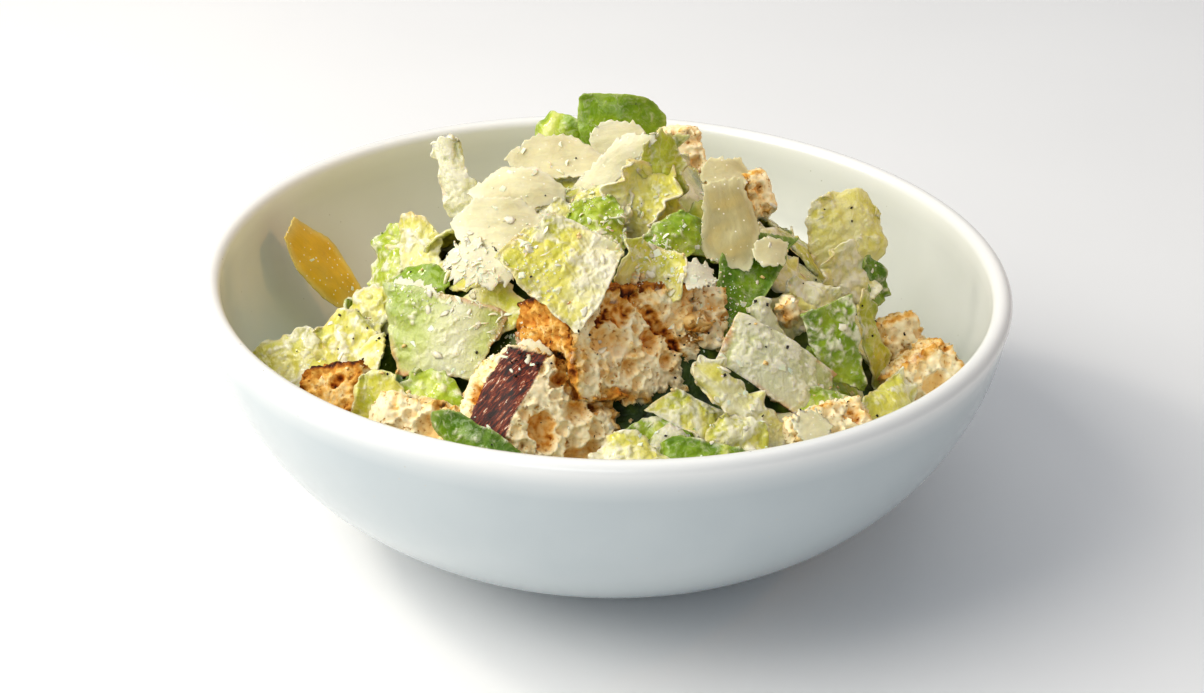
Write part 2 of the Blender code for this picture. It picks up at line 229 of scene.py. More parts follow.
# name: place, point it looks at, (width, height), power in watts, colour
WINDOWS = {
    "left window": ((-0.95, -0.35, 0.95), (0, 0, 0.06), (1.1, 1.1), 14.5, "FFFAF2"),
    "bright bulb": ((-0.62, 0.1, 0.6), (0, 0, 0.08), (0.12, 0.12), 1.3, "FFF6E6"),
    "front fill": ((-0.2, -1.4, 0.7), (0, 0, 0.06), (0.8, 0.5), 2.2, "F6FAFF"),
    "ceiling": ((0, 0.4, 1.7), (0, 0, 0), (1.6, 1.6), 4.5, "FFFFFF"),
}
for name, (place, towards, size, power, colour) in WINDOWS.items():
    light = bpy.data.lights.new(name, "AREA")
    light.shape = "RECTANGLE"
    light.size, light.size_y = size
    light.energy = power
    light.color = linear(colour)[:3]
    aimed(name, light, place, towards)
spot = bpy.data.lights.new("warm lamp", "SPOT")
spot.energy, spot.spot_size, spot.spot_blend, spot.shadow_soft_size = 3.0, math.radians(20), 0.6, 0.06
spot.color = linear("FFBC66")[:3]
warm_lamp = aimed("warm lamp", spot, (0.5, 0.02, 0.42), (-0.06, 0.01, 0.06))
warm_lamp.visible_glossy = False
world = bpy.data.worlds.new("white room")
world.use_nodes = True
room = world.node_tree.nodes["Background"]
room.inputs["Color"].default_value = linear("F4F8FF")
room.inputs["Strength"].default_value = 0.26
bpy.context.scene.world = world
print(len(WINDOWS), "soft lights, a warm lamp and a white room")

# %% [markdown]
# ## The bowl
#
# The bowl is stoneware under a thick white glaze. A potter turns it, and Blender's spin does the same:
# one section, from the middle of the floor up the inside, over the rolled lip, down the outside and
# under the foot, is carried once round the axis. Inside and out, the radius falls from the lip to the
# floor as a rounded curve: one power says how long the wall stays steep under the lip, the other how
# flat it meets the floor. The curves follow the solid's, so the salad still touches the inside where
# it should.

# %% Bowl section
# in millimetres; a depth is measured down from the lip, STEEP and FLAT are the powers of the two curves,
# and STEPS is how many stretches each part of the section has
BOWL_RADIUS, LIP_HEIGHT, LIP_ROUND = 110.0, 71.5, 2.7
OUTSIDE_DEPTH, OUTSIDE_STEEP, OUTSIDE_FLAT, OUTSIDE_END = 71.8, 1.76, 0.348, 67.2
INSIDE_DEPTH, INSIDE_STEEP, INSIDE_FLAT = 63.5, 1.9, 0.33
INSIDE_STEPS, LIP_STEPS, OUTSIDE_STEPS, TURN_STEPS = 24, 12, 26, 160
FLOOR = [(0, 8.0), (12, 8.0), (24, 8.0), (33, 8.1)]
FOOT = [(45.0, 3.2), (44.4, 1.6), (44.2, 0.6), (43.6, 0.0), (39.4, 0.0), (38.6, 0.5), (37.2, 2.4), (0, 2.4)]


def outside_radius(depth):
    """The bowl's outer radius at a depth below its lip, in millimetres."""
    return (BOWL_RADIUS - 0.6) * (1 - (depth / OUTSIDE_DEPTH) ** OUTSIDE_STEEP) ** OUTSIDE_FLAT


def inside_radius(depth):
    """The bowl's inner radius at a depth below its lip, in millimetres."""
    sunk = (max(0.0, depth) / INSIDE_DEPTH) ** INSIDE_STEEP
    return (BOWL_RADIUS - 2 * LIP_ROUND) * max(0.0, 1 - sunk) ** INSIDE_FLAT


def bowl_section():
    """(radius, height) points in millimetres, from the middle of the floor to the middle of the foot."""
    points = list(FLOOR)
    for step in range(INSIDE_STEPS):
        depth = INSIDE_DEPTH * math.sin(math.radians(90 * (1 - step / INSIDE_STEPS))) * 0.985
        points.append((inside_radius(depth), LIP_HEIGHT - depth))
    for step in range(LIP_STEPS + 1):
        angle = math.pi - math.pi * step / LIP_STEPS
        radius = BOWL_RADIUS - LIP_ROUND + LIP_ROUND * math.cos(angle)
        points.append((radius, LIP_HEIGHT + LIP_ROUND * math.sin(angle)))
    for step in range(1, OUTSIDE_STEPS + 1):
        depth = OUTSIDE_END * math.sin(math.radians(90 * step / OUTSIDE_STEPS))
        points.append((outside_radius(depth), LIP_HEIGHT - depth))
    return points + FOOT


section = bowl_section()
print("section has", len(section), "points, widest", round(max(r for r, z in section), 1), "mm")

# %% [markdown]
# The spin is closed by merging its first and last section, and each end on the axis into one point.
# The number `outer` goes to the glaze: 1 outside, -1 inside, and 0 on the lip.

# %% Spin the bowl
bm = bmesh.new()
outline = [bm.verts.new((radius * MM, 0, height * MM)) for radius, height in section]
edges = [bm.edges.new(pair) for pair in zip(outline, outline[1:])]
bmesh.ops.spin(
    bm, geom=outline + edges, cent=(0, 0, 0), axis=(0, 0, 1), angle=math.tau, steps=TURN_STEPS, use_merge=True
)
bmesh.ops.remove_doubles(bm, verts=bm.verts, dist=1e-6)
bmesh.ops.recalc_face_normals(bm, faces=bm.faces)
outer = bm.verts.layers.float.new("outer")
for vert in bm.verts:
    depth, reach = LIP_HEIGHT - vert.co.z / MM, math.hypot(vert.co.x, vert.co.y) / MM
    outside = depth > 0 and reach > (inside_radius(depth) + outside_radius(depth)) / 2 or vert.co.z < 5 * MM
    vert[outer] = smooth_step(1.0, 6.0, depth) * (1.0 if outside else -1.0)
print("the bowl takes", round(bm.calc_volume() * 1e6), "cm3 of clay")

# %% [markdown]
# Glaze is a thin glass: a smooth clear coat over an opaque body. Inside it is a pale grey-white. The
# outside is a cool grey, painted darker than the inside as painted shade on the outer wall, and the lip
# is painted whitest, a painted highlight where it catches the light. It isn't quite even, because glaze
# runs thinner here and there, in clouds a few centimetres wide. Specks of the clay half a millimetre
# wide show through it, and it has a faint orange-peel waviness about a centimetre across.

# %% Glaze
glaze, tree, shader = new_material(
    "white glazed stoneware", Roughness=0.22, IOR=1.5, Coat_Weight=0.35, Coat_Roughness=0.06
)
place = add_node(tree, "ShaderNodeTexCoord").outputs["Object"]
clouds = add_node(
    tree, "ShaderNodeTexNoise", inputs={"Scale": per_metre(35.7), "Detail": 3.0}, links={"Vector": place}
)
# the inside's pale grey-white, and the outside's cool grey, painted darker as painted shade
inner_white, outer_painted_shade = (
    add_node(tree, "ShaderNodeValToRGB", links={"Fac": clouds.outputs["Fac"]}, stops=stops).outputs["Color"]
    for stops in ([(0.3, "D7DAD9"), (0.7, "DEE1E0")], [(0.3, "BBC5C9"), (0.7, "C2CBCE")])
)
side = add_node(tree, "ShaderNodeAttribute", {"attribute_name": "outer"}).outputs["Fac"]
inward = add_node(
    tree, "ShaderNodeMapRange", inputs={"From Min": -1.0, "From Max": 0.0}, links={"Value": side}
)
# painted highlight: the lip is painted whiter than the rest of the glaze
lip_painted_highlight = add_node(
    tree, "ShaderNodeMix", {"data_type": "RGBA"}, {"B": linear("EDEFEE")},
    {"Factor": inward.outputs["Result"], "A": inner_white},
)
outward = add_node(tree, "ShaderNodeMapRange", links={"Value": side})
body = add_node(
    tree, "ShaderNodeMix", {"data_type": "RGBA"},
    links={"Factor": outward.outputs["Result"], "A": lip_painted_highlight.outputs["Result"], "B": outer_painted_shade},
)
specks = add_node(tree, "ShaderNodeTexVoronoi", inputs={"Scale": per_metre(6.25)}, links={"Vector": place})
speck = add_node(
    tree, "ShaderNodeMapRange", inputs={"From Min": 0.03, "From Max": 0.05},
    links={"Value": specks.outputs["Distance"]},
)
mixed = add_node(
    tree, "ShaderNodeMix", {"data_type": "RGBA"}, {"A": linear("C4C6C2")},
    {"Factor": speck.outputs["Result"], "B": body.outputs["Result"]},
)
tree.links.new(mixed.outputs["Result"], shader.inputs["Base Color"])
ripple = add_node(
    tree, "ShaderNodeTexNoise", inputs={"Scale": per_metre(11.1), "Detail": 1.0}, links={"Vector": place}
)
dimple = add_node(
    tree, "ShaderNodeBump", inputs={"Strength": 0.04, "Distance": 0.5 * MM},
    links={"Height": ripple.outputs["Fac"]},
)
tree.links.new(dimple.outputs["Normal"], shader.inputs["Normal"])
serve("salad_bowl", bm, glaze, ["bowl"])

# %% [markdown]
# ## Where things lie
#
# The salad is a mound: high and steep at the top, levelling out where it meets the bowl, and filled
# higher towards the guest than at the back. A leaf is placed by the point of the mound it lies on, by
# the way its face looks, as a bearing round the bowl and an elevation, and by its turn about that
# line. Nothing may pass through the bowl, so a point too far out is drawn in to the glaze, which is
# also how real leaves bend against the wall.


# %% Places on the mound
# in millimetres: the top, the fill by the lip in front and behind, and the reach to each side
TOP, FRONT_FILL, BACK_FILL = 98, 48, 28
REACH_LEFT, REACH_RIGHT, REACH_FRONT, REACH_BACK = 60, 72, 70, 58
FLOOR_HEIGHT = 9


def mound_height(x, y):
    """Height of the mound's surface under the leaves, in millimetres."""
    share = math.hypot(x / (REACH_LEFT if x < 0 else REACH_RIGHT), y / (REACH_FRONT if y < 0 else REACH_BACK))
    fill = FRONT_FILL - (FRONT_FILL - BACK_FILL) * smooth_step(-28, 22, y)
    return fill + (TOP - fill) * math.exp(-(share**3))


def facing_matrix(at, facing, turn):
    """A frame at a point in millimetres whose Z looks along (bearing, elevation), then turned about Z."""
    bearing, elevation = (math.radians(angle) for angle in facing)
    flat = math.cos(elevation)
    normal = Vector((math.sin(bearing) * flat, -math.cos(bearing) * flat, math.sin(elevation)))
    up = Vector((0, 0, 1))
    up = (up - normal * up.dot(normal)).normalized()
    rotation = Matrix((up.cross(normal), up, normal)).transposed().to_4x4()
    return Matrix.Translation(Vector(at) * MM) @ rotation @ Matrix.Rotation(math.radians(turn), 4, "Z")


def inside_bowl(point, gap=0.7):
    """The point, in metres, drawn in to the bowl's inner wall where it lies beyond it."""
    height = point.z / MM
    if height < LIP_HEIGHT:
        room = inside_radius(LIP_HEIGHT - height) - gap
        reach = math.hypot(point.x, point.y) / MM
        if reach > room:
            share = max(room, 1.0) / reach
            return Vector((point.x * share, point.y * share, max(point.z, FLOOR_HEIGHT * MM)))
    return point


print("mound top", round(mound_height(0, 0)), "mm, back edge", round(mound_height(0, 80)), "mm")

# %% [markdown]
# ## The dark inside of the heap
#
# Between the leaves one looks into the heap, where more leaves lie in their own shade. A lumpy block a
# little smaller than the mound, painted in dark greens as painted shade, closes the view there, so that
# no gap looks through to the bowl. It starts as a grid, is drawn up to the mound, and is given its
# depth by an extrusion.

# %% Core of the heap
# in millimetres: half its width, how far it lies below the mound, its foot's height, its gap to the glaze
CORE_HALF, CORE_BELOW, CORE_FOOT, CORE_GAP = 104, 4.5, 20, 1.5
bm = bmesh.new()
bmesh.ops.create_grid(bm, x_segments=90, y_segments=90, size=CORE_HALF * MM)
skirt = bmesh.ops.extrude_face_region(bm, geom=list(bm.faces))["geom"]
skirt_verts = {item for item in skirt if isinstance(item, bmesh.types.BMVert)}
for vert in bm.verts:
    x, y = vert.co.x / MM, vert.co.y / MM
    if vert in skirt_verts:
        vert.co.z = CORE_FOOT * MM
    else:
        lump = noise.noise(Vector((x, y, 0)) / 9) * 4 + noise.noise(Vector((x, y, 5)) / 3.5) * 1.6
        vert.co.z = (mound_height(x, y) - CORE_BELOW + lump) * MM
    vert.co = inside_bowl(vert.co, CORE_GAP)
bmesh.ops.recalc_face_normals(bm, faces=bm.faces)
print("core has", len(bm.faces), "faces")

# %% Finish of the core
shade_green, tree, shader = new_material("shaded romaine", Roughness=0.4)
place = add_node(tree, "ShaderNodeTexCoord").outputs["Object"]
mottle = add_node(
    tree, "ShaderNodeTexNoise", inputs={"Scale": per_metre(5.88), "Detail": 4.0}, links={"Vector": place}
)
# painted shade: greens from near black, for the shade deep in the heap
shady = add_node(
    tree, "ShaderNodeValToRGB", links={"Fac": mottle.outputs["Fac"]},
    stops=[(0.3, "1A280A"), (0.5, "38500F"), (0.66, "6A7E22"), (0.78, "9CA84E")],
)
tree.links.new(shady.outputs["Color"], shader.inputs["Base Color"])
folds = add_node(
    tree, "ShaderNodeBump", inputs={"Strength": 0.6, "Distance": 3 * MM},
    links={"Height": mottle.outputs["Fac"]},
)
tree.links.new(folds.outputs["Normal"], shader.inputs["Normal"])
serve("heap_core", bm, shade_green, ["lettuce_heap"])

# %% [markdown]
# ## A leaf of romaine
#
# A piece of romaine is a thin blade on a pale, juicy midrib. Veins leave the rib at a slant, the blade
# bulges up between them in pillows a few millimetres wide, and the margin has grown longer than it has
# room for, so it waves. Each of those is one term of the height that the functions below give a flat
# grid. The grid is then bent across its width like a roof tile, curled along its length, extruded to
# its thickness, which is greatest at the rib, and put in place.
#
# Every point keeps three numbers for the finish: `green`, from the white of the rib to the deep green
# of an outer leaf, `margin`, how near it is to the torn edge, and `coat`, how much dressing lies there.
# The leaf's own share of dressing sets how much of the blade is covered, in pools a few millimetres
# wide that stand a third of a millimetre proud. It also keeps `sheet`, its place on the flat leaf in
# millimetres, so that veins can follow the leaf.


# %% Leaf outline
def bumps(shift, x, y=0.0, z=0.0):
    """Smooth noise between -1 and 1. Each leaf and shaving has a shift of its own into it."""
    return noise.noise(Vector((x, y, z)) + shift)


def leaf_outline(s, t, size, taper, corner, ragged, shape, shift):
    """The place in millimetres, on the flat leaf, of a grid point whose s and t run from -1 to 1."""
    width, length = size
    x, y = s * width / 2, t * length / 2
    if shape:
        low_edge = shape[0].lerp(shape[1], s / 2 + 0.5)
        high_edge = shape[3].lerp(shape[2], s / 2 + 0.5)
        across, along = low_edge.lerp(high_edge, t / 2 + 0.5)
        x, y = across * width / 2, along * length / 2
    # the torn edge wanders in lobes 5 mm long with notches of 1.6 mm
    wander = bumps(shift, y / 5, s * 2) + 0.5 * bumps(shift, y / 1.6, s * 2, 3)
    drift = bumps(shift, t * 2, x / 5, 9) + 0.5 * bumps(shift, t * 2, x / 1.6, 4)
    rounding = 1 - corner * s * s * t * t
    x *= (1 + taper * t) * rounding * (1 + ragged * smooth_step(0.45, 1, abs(s)) * wander * 2)
    y *= rounding * (1 + ragged * smooth_step(0.45, 1, abs(t)) * drift * 2)
    return x, y


# %% Leaf relief
# in millimetres: from one vein to the next and half a vein's width, then a pillow's width and how high
# the dressing stands; VEIN_SLANT is how far a vein climbs for each step away from the rib
VEIN_STEP, VEIN_WIDTH, VEIN_SLANT = 7, 0.7, 0.9
PILLOW, DRESSING_HEIGHT = 3.3, 0.35


def margin_wave(s, t, x, y, seed, shift):
    """The waves of the long edges, 13 mm and 6 mm long, and of the short ones, in shares of a ruffle."""
    wave = math.sin(y / 2.1 + 4.5 * bumps(shift, y / 6, s, 1) + s * 2)
    wave += 0.5 * math.sin(y / 0.95 + s * 5 + seed)
    edge_s, edge_t = smooth_step(0.45, 1, abs(s)), smooth_step(0.45, 1, abs(t))
    return edge_s**1.5 * wave + 0.7 * edge_t**2 * math.sin(x / 2.3 + seed + t)


def dressing_pool(flat, outer, coat, shift):
    """How much dressing, from 0 to 1, lies at a place: pools of 9, 2.4 and 1 mm, more at the margin."""
    pool = 0.5 * noise.noise(flat / 9 - shift) + 0.55 * noise.noise(flat / 2.4 + shift)
    pool += 0.3 * noise.noise(flat) + 0.16 * smooth_step(0.82, 1.0, outer)
    return smooth_step(0.2 - 0.6 * coat, 0.75 - 0.6 * coat, pool)


def blade_relief(flat, swell, from_rib, on_rib, shift):
    """The blade's own height, in shares of a pucker: pillows, swells and creases, sunk at the veins."""
    slant = (flat.y + VEIN_SLANT * from_rib + 1.2 * noise.noise(flat / 6 + shift)) / VEIN_STEP
    from_vein = abs(slant - round(slant)) * VEIN_STEP
    on_vein = math.exp(-((from_vein / VEIN_WIDTH) ** 2)) * (1 - on_rib)
    nearest, second = noise.voronoi(flat / PILLOW + shift)[0][:2]
    pillow = smooth_step(0.0, 0.5, second - nearest)
    creases = noise.noise(flat / 1.5 + shift)
    return (0.36 * pillow + 1.3 * swell + 0.12 * creases - 0.3 * on_vein) * (1 - 0.85 * on_rib)


# %% Bend and thickness
def bent_sheet(flat, height, size, roll, pitch):
    """A point of a flat sheet, raised by a height, on the sheet bent across (roll) and along (pitch)."""
    width, length = size
    spot, lift = flat.copy(), Vector((0, 0, 1))
    if roll:
        radius = width / roll
        angle = flat.x / radius
        spot = Vector((radius * math.sin(angle), flat.y, radius * (math.cos(angle) - 1)))
        spot.z += width * roll / 24
        lift = Vector((math.sin(angle), 0, math.cos(angle)))
    spot += lift * height
    if pitch:
        radius = length / pitch
        angle = spot.y / radius
        depth = radius + spot.z
        spot = Vector((spot.x, depth * math.sin(angle), depth * math.cos(angle) - radius))
    return spot


def thicken(bm, steps):
    """Extrudes an open sheet downwards, by a step in metres at each of its verts, into a closed one."""
    order = bm.verts.layers.int.new("order")
    bm.normal_update()
    normals = [vert.normal.copy() for vert in bm.verts]
    for index, vert in enumerate(bm.verts):
        vert[order] = index
    made = bmesh.ops.extrude_face_region(bm, geom=list(bm.faces))["geom"]
    for vert in (item for item in made if isinstance(item, bmesh.types.BMVert)):
        vert.co -= normals[vert[order]] * steps[vert[order]]
    bmesh.ops.recalc_face_normals(bm, faces=bm.faces)
    bm.verts.layers.int.remove(bm.verts.layers.int["order"])


# %% Leaf shape
def leaf(
    at, size, facing, turn, bend=30, curl=0, twist=0, taper=0, corner=0.2, pucker=0.9, ruffle=1.2,
    rib=None, green=(0.3, 0.6), ragged=0.06, thick=0.55, cell=0.6, seed=0, coat=0.4, shape=None,
):
    """One leaf piece as a bmesh. Sizes in mm, angles in degrees, rib is (offset, width, thickness).

    shape gives its four corners, from the lower left round, in halves of the size.
    """
    shape = [Vector(corner) for corner in shape] if shape else None
    width, length = size
    bm = bmesh.new()
    layers = [bm.verts.layers.float.new(name) for name in ("green", "margin", "coat")]
    sheet = bm.verts.layers.float_vector.new("sheet")
    columns, rows = max(6, round(width / cell)), max(6, round(length / cell))
    bmesh.ops.create_grid(bm, x_segments=columns, y_segments=rows, size=1.0)
    shift = Vector((seed * 7.3, seed * 3.1, seed * 1.7))
    rib_at, rib_width, rib_thick = rib or (0, 0.001, 0)
    roll, pitch = math.radians(bend), math.radians(curl)
    steps = []
    for vert in bm.verts:
        s, t = vert.co.x, vert.co.y
        outer = max(abs(s), abs(t))
        x, y = leaf_outline(s, t, size, taper, corner, ragged, shape, shift)
        flat = Vector((x, y, 0))
        from_rib = abs(x - rib_at * width / 2)
        on_rib = math.exp(-((from_rib / rib_width) ** 2)) if rib else 0.0
        swell = noise.noise(flat / 8 + shift) + 0.25 * noise.noise(flat / 3.2 + shift)
        dressed = dressing_pool(flat, outer, coat, shift)
        height = pucker * blade_relief(flat, swell, from_rib, on_rib, shift)
        height += ruffle * margin_wave(s, t, x, y, seed, shift)
        height += rib_thick * 0.25 * on_rib + DRESSING_HEIGHT * dressed
        spot = bent_sheet(flat, height, size, roll, pitch)
        if twist:
            spot = Matrix.Rotation(math.radians(twist) * t, 3, "Y") @ spot
        vert.co = spot * MM
        low, high = green
        tint = low + (high - low) * (0.45 + 0.4 * t + 0.35 * abs(s)) + 0.12 * swell
        kept = (tint * (1 - 0.9 * on_rib), smooth_step(0.82, 1.0, outer), dressed)
        for layer, value in zip(layers, kept):
            vert[layer] = value
        vert[sheet] = Vector((x, y, seed * 13.0))
        steps.append((thick + rib_thick * on_rib) * MM)
    thicken(bm, steps)
    matrix = facing_matrix(at, facing, turn)
    for vert in bm.verts:
        vert.co = inside_bowl(matrix @ vert.co)
    return bm


test = leaf((0, 0, 100), (20, 24), (0, 40), 0, rib=(0, 2, 1))
print("a 20 by 24 mm leaf has", len(test.faces), "faces")
test.free()

# %% [markdown]
# Many leaves of one kind become one piece: each is made on its own and read into a shared bmesh, which
# keeps their numbers.


# %% Gather leaves
def gather(leaves):
    """Joins the bmeshes of a list of leaves into one."""
    joined = bmesh.new()
    for one in leaves:
        mesh = bpy.data.meshes.new("leaf")
        one.to_mesh(mesh)
        one.free()
        joined.from_mesh(mesh)
        bpy.data.meshes.remove(mesh)
    return joined


# %% [markdown]
# ## What a dressed leaf looks like
#
# Romaine is wet and a little translucent: it scatters light inside, so it gets some subsurface, and it
# has the soft gloss of a cuticle under an oily dressing. Veins branch into a net whose meshes are about
# five millimetres wide and a little long, which a Voronoi texture's cell edges draw well, with a finer
# net inside it. The rib has fine fibres along its length. The dressing is an emulsion of oil, egg and
# cheese. It lies in a thin cream-coloured film with soft edges, thicker along margins.
#
# The ramp of greens differs between heart leaves, outer leaves and midribs; the rest of the tree is
# the same, so one function makes it.


# %% Leaf finish
# in millimetres: the meshes of the vein net, and the fibres of a rib
NET_WIDE, NET_LONG = 5, 7.14
FIBRE_WIDE, FIBRE_LONG = 0.5, 8.33


def leaf_material(name, steps, vein_colour, vein_share, glow, fibre=0.0, roughness=0.34, blush=0.0):
    """A dressed leaf: a colour for each amount of green, a net of veins, and a film of dressing."""
    made, tree, shader = new_material(
        name, Roughness=roughness, IOR=1.42, Coat_Weight=0.6, Coat_Roughness=0.09, Specular_IOR_Level=0.25,
        Subsurface_Weight=glow, Subsurface_Radius=(1.0, 1.0, 0.3), Subsurface_Scale=1.8 * MM,
    )
    place = add_node(tree, "ShaderNodeTexCoord").outputs["Object"]
    green, margin, coated = (
        add_node(tree, "ShaderNodeAttribute", {"attribute_name": layer}).outputs["Fac"]
        for layer in ("green", "margin", "coat")
    )
    sheet = add_node(tree, "ShaderNodeAttribute", {"attribute_name": "sheet"}).outputs["Vector"]
    # a patchy green, in patches of 5 mm
    patches = add_node(
        tree, "ShaderNodeTexNoise", inputs={"Scale": per_metre(5), "Detail": 3.0}, links={"Vector": place}
    )
    shifted = add_node(
        tree, "ShaderNodeMath", {"operation": "MULTIPLY_ADD"}, {1: 0.6, 2: -0.3}, {0: patches.outputs["Fac"]}
    )
    amount = add_node(
        tree, "ShaderNodeMath", {"operation": "ADD", "use_clamp": True},
        links={0: green, 1: shifted.outputs["Value"]},
    )
    blade = add_node(tree, "ShaderNodeValToRGB", links={"Fac": amount.outputs["Value"]}, stops=steps)
    # the vein net, bent by up to 2.5 mm: lines about 0.35 mm wide, and a finer one of 1.6 mm meshes
    bent = add_node(
        tree, "ShaderNodeTexNoise", inputs={"Scale": 1 / 4, "Detail": 1.0}, links={"Vector": sheet}
    )
    wobble = add_node(
        tree, "ShaderNodeVectorMath", {"operation": "MULTIPLY_ADD"}, {1: (2.5, 2.5, 0)},
        {0: bent.outputs["Color"], 2: sheet},
    )
    long_way = add_node(
        tree, "ShaderNodeMapping", inputs={"Scale": (1 / NET_WIDE, 1 / NET_LONG, 1.0)},
        links={"Vector": wobble.outputs["Vector"]},
    )
    nets = []
    for scale, line in ((1.0, 0.035), (3.1, 0.06)):
        net = add_node(
            tree, "ShaderNodeTexVoronoi", {"feature": "DISTANCE_TO_EDGE"}, {"Scale": scale},
            {"Vector": long_way.outputs["Vector"]},
        )
        drawn = add_node(
            tree, "ShaderNodeMapRange", {"interpolation_type": "SMOOTHSTEP"},
            {"From Min": line * 2, "From Max": line * 0.4}, {"Value": net.outputs["Distance"]},
        )
        nets.append(drawn.outputs["Result"])
    fine = add_node(
        tree, "ShaderNodeMath", {"operation": "MULTIPLY_ADD"}, {1: 0.35}, {0: nets[1], 2: nets[0]}
    )
    veins = add_node(
        tree, "ShaderNodeMath", {"operation": "MULTIPLY", "use_clamp": True}, {1: vein_share},
        {0: fine.outputs["Value"]},
    )
    pale = add_node(
        tree, "ShaderNodeMath", {"operation": "MULTIPLY_ADD", "use_clamp": True}, {1: 0.4},
        {0: margin, 2: veins.outputs["Value"]},
    )
    veined = add_node(
        tree, "ShaderNodeMix", {"data_type": "RGBA"}, {"B": linear(vein_colour)},
        {"Factor": pale.outputs["Value"], "A": blade.outputs["Color"]},
    )
    # fibres 0.5 mm apart along the rib
    stretched = add_node(
        tree, "ShaderNodeMapping", inputs={"Scale": (1 / FIBRE_WIDE, 1 / FIBRE_LONG, 1.0)},
        links={"Vector": sheet},
    )
    fibres = add_node(
        tree, "ShaderNodeTexNoise", inputs={"Scale": 1.0, "Detail": 2.0},
        links={"Vector": stretched.outputs["Vector"]},
    )
    streaked = add_node(
        tree, "ShaderNodeMapRange",
        inputs={"From Min": 0.3, "From Max": 0.7, "To Min": 1.0 - 0.3 * fibre, "To Max": 1.0 + 0.1 * fibre},
        links={"Value": fibres.outputs["Fac"]},
    )
    leafy = add_node(
        tree, "ShaderNodeVectorMath", {"operation": "SCALE"},
        links={0: veined.outputs["Result"], "Scale": streaked.outputs["Result"]},
    )
    # cut margins turn a little pink, in stretches of about a centimetre
    rosy = add_node(
        tree, "ShaderNodeTexNoise", inputs={"Scale": per_metre(11.1), "Detail": 1.0}, links={"Vector": place}
    )
    where = add_node(
        tree, "ShaderNodeMapRange", inputs={"From Min": 0.48, "From Max": 0.62, "To Max": blush},
        links={"Value": rosy.outputs["Fac"]},
    )
    on_cut = add_node(
        tree, "ShaderNodeMath", {"operation": "MULTIPLY"}, links={0: where.outputs["Result"], 1: margin}
    )
    reddened = add_node(
        tree, "ShaderNodeMix", {"data_type": "RGBA"}, {"B": linear("D79A72")},
        {"Factor": on_cut.outputs["Value"], "A": leafy.outputs["Vector"]},
    )
    # the pools of dressing are the shape's own; here their rims are broken into blots of about 2 mm
    blots = add_node(
        tree, "ShaderNodeTexNoise", links={"Vector": place},
        inputs={"Scale": per_metre(2.38), "Detail": 4.0, "Roughness": 0.62, "Distortion": 1.0},
    )
    heaped = add_node(
        tree, "ShaderNodeMath", {"operation": "MULTIPLY_ADD"}, {1: 0.4}, {0: coated, 2: blots.outputs["Fac"]}
    )
    film = add_node(
        tree, "ShaderNodeMapRange", {"interpolation_type": "SMOOTHSTEP"},
        {"From Min": 0.46, "From Max": 1.0, "To Max": 0.8}, {"Value": heaped.outputs["Value"]},
    )
    dressed = add_node(
        tree, "ShaderNodeMix", {"data_type": "RGBA"}, {"B": linear("F6F2DC")},
        {"Factor": film.outputs["Result"], "A": reddened.outputs["Result"]},
    )
    tree.links.new(dressed.outputs["Result"], shader.inputs["Base Color"])
    # relief: a grained skin with sunk veins and raised fibres, and the dressing's film on top
    skin = add_node(
        tree, "ShaderNodeTexNoise", inputs={"Scale": per_metre(1.667), "Detail": 5.0, "Roughness": 0.65},
        links={"Vector": place},
    )
    relief = add_node(
        tree, "ShaderNodeMath", {"operation": "MULTIPLY_ADD"}, {1: -0.6},
        {0: veins.outputs["Value"], 2: skin.outputs["Fac"]},
    )
    ridged = add_node(
        tree, "ShaderNodeMath", {"operation": "MULTIPLY_ADD"}, {1: 0.6 * fibre},
        {0: fibres.outputs["Fac"], 2: relief.outputs["Value"]},
    )
    bump = add_node(
        tree, "ShaderNodeBump", inputs={"Strength": 0.65, "Distance": 0.8 * MM},
        links={"Height": ridged.outputs["Value"]},
    )
    wet = add_node(
        tree, "ShaderNodeBump", inputs={"Strength": 0.6, "Distance": 0.5 * MM},
        links={"Height": film.outputs["Result"], "Normal": bump.outputs["Normal"]},
    )
    tree.links.new(wet.outputs["Normal"], shader.inputs["Normal"])
    return made


heart_finish = leaf_material(
    "dressed romaine heart",
    [(0.0, "EFECC8"), (0.25, "E9E4A2"), (0.5, "DDD662"), (0.75, "BEC23A"), (1.0, "8A9C24")],
    vein_colour="EFEBC4", vein_share=0.22, glow=0.3, blush=0.3,
)
green_finish = leaf_material(
    "dressed romaine outer leaf",
    [(0.0, "D6DA80"), (0.25, "B2C238"), (0.5, "86A41A"), (0.75, "587E0A"), (1.0, "345606")],
    vein_colour="B4C86A", vein_share=0.1, glow=0.2, roughness=0.26,
)
rib_finish = leaf_material(
    "romaine midrib",
    [(0.0, "DADABA"), (0.3, "CCD094"), (0.6, "B8C468"), (1.0, "98AE3A")],
    vein_colour="DCDDB8", vein_share=0.08, glow=0.5, fibre=0.3, roughness=0.22, blush=0.8,
)
print("three leaf finishes")

# %% [markdown]
# ## The leaves on top
#
# The leaves one sees whole are placed one by one, from the top of the heap down to the rim. Their
# points are on or a little above the mound. Each row holds what the leaf function asks for, in its
# order: at, size, facing, turn, bend, curl, twist, taper, corner, pucker, ruffle, rib, green, ragged,
# thick, cell, seed, coat, and shape where the piece was torn into one with clear corners.

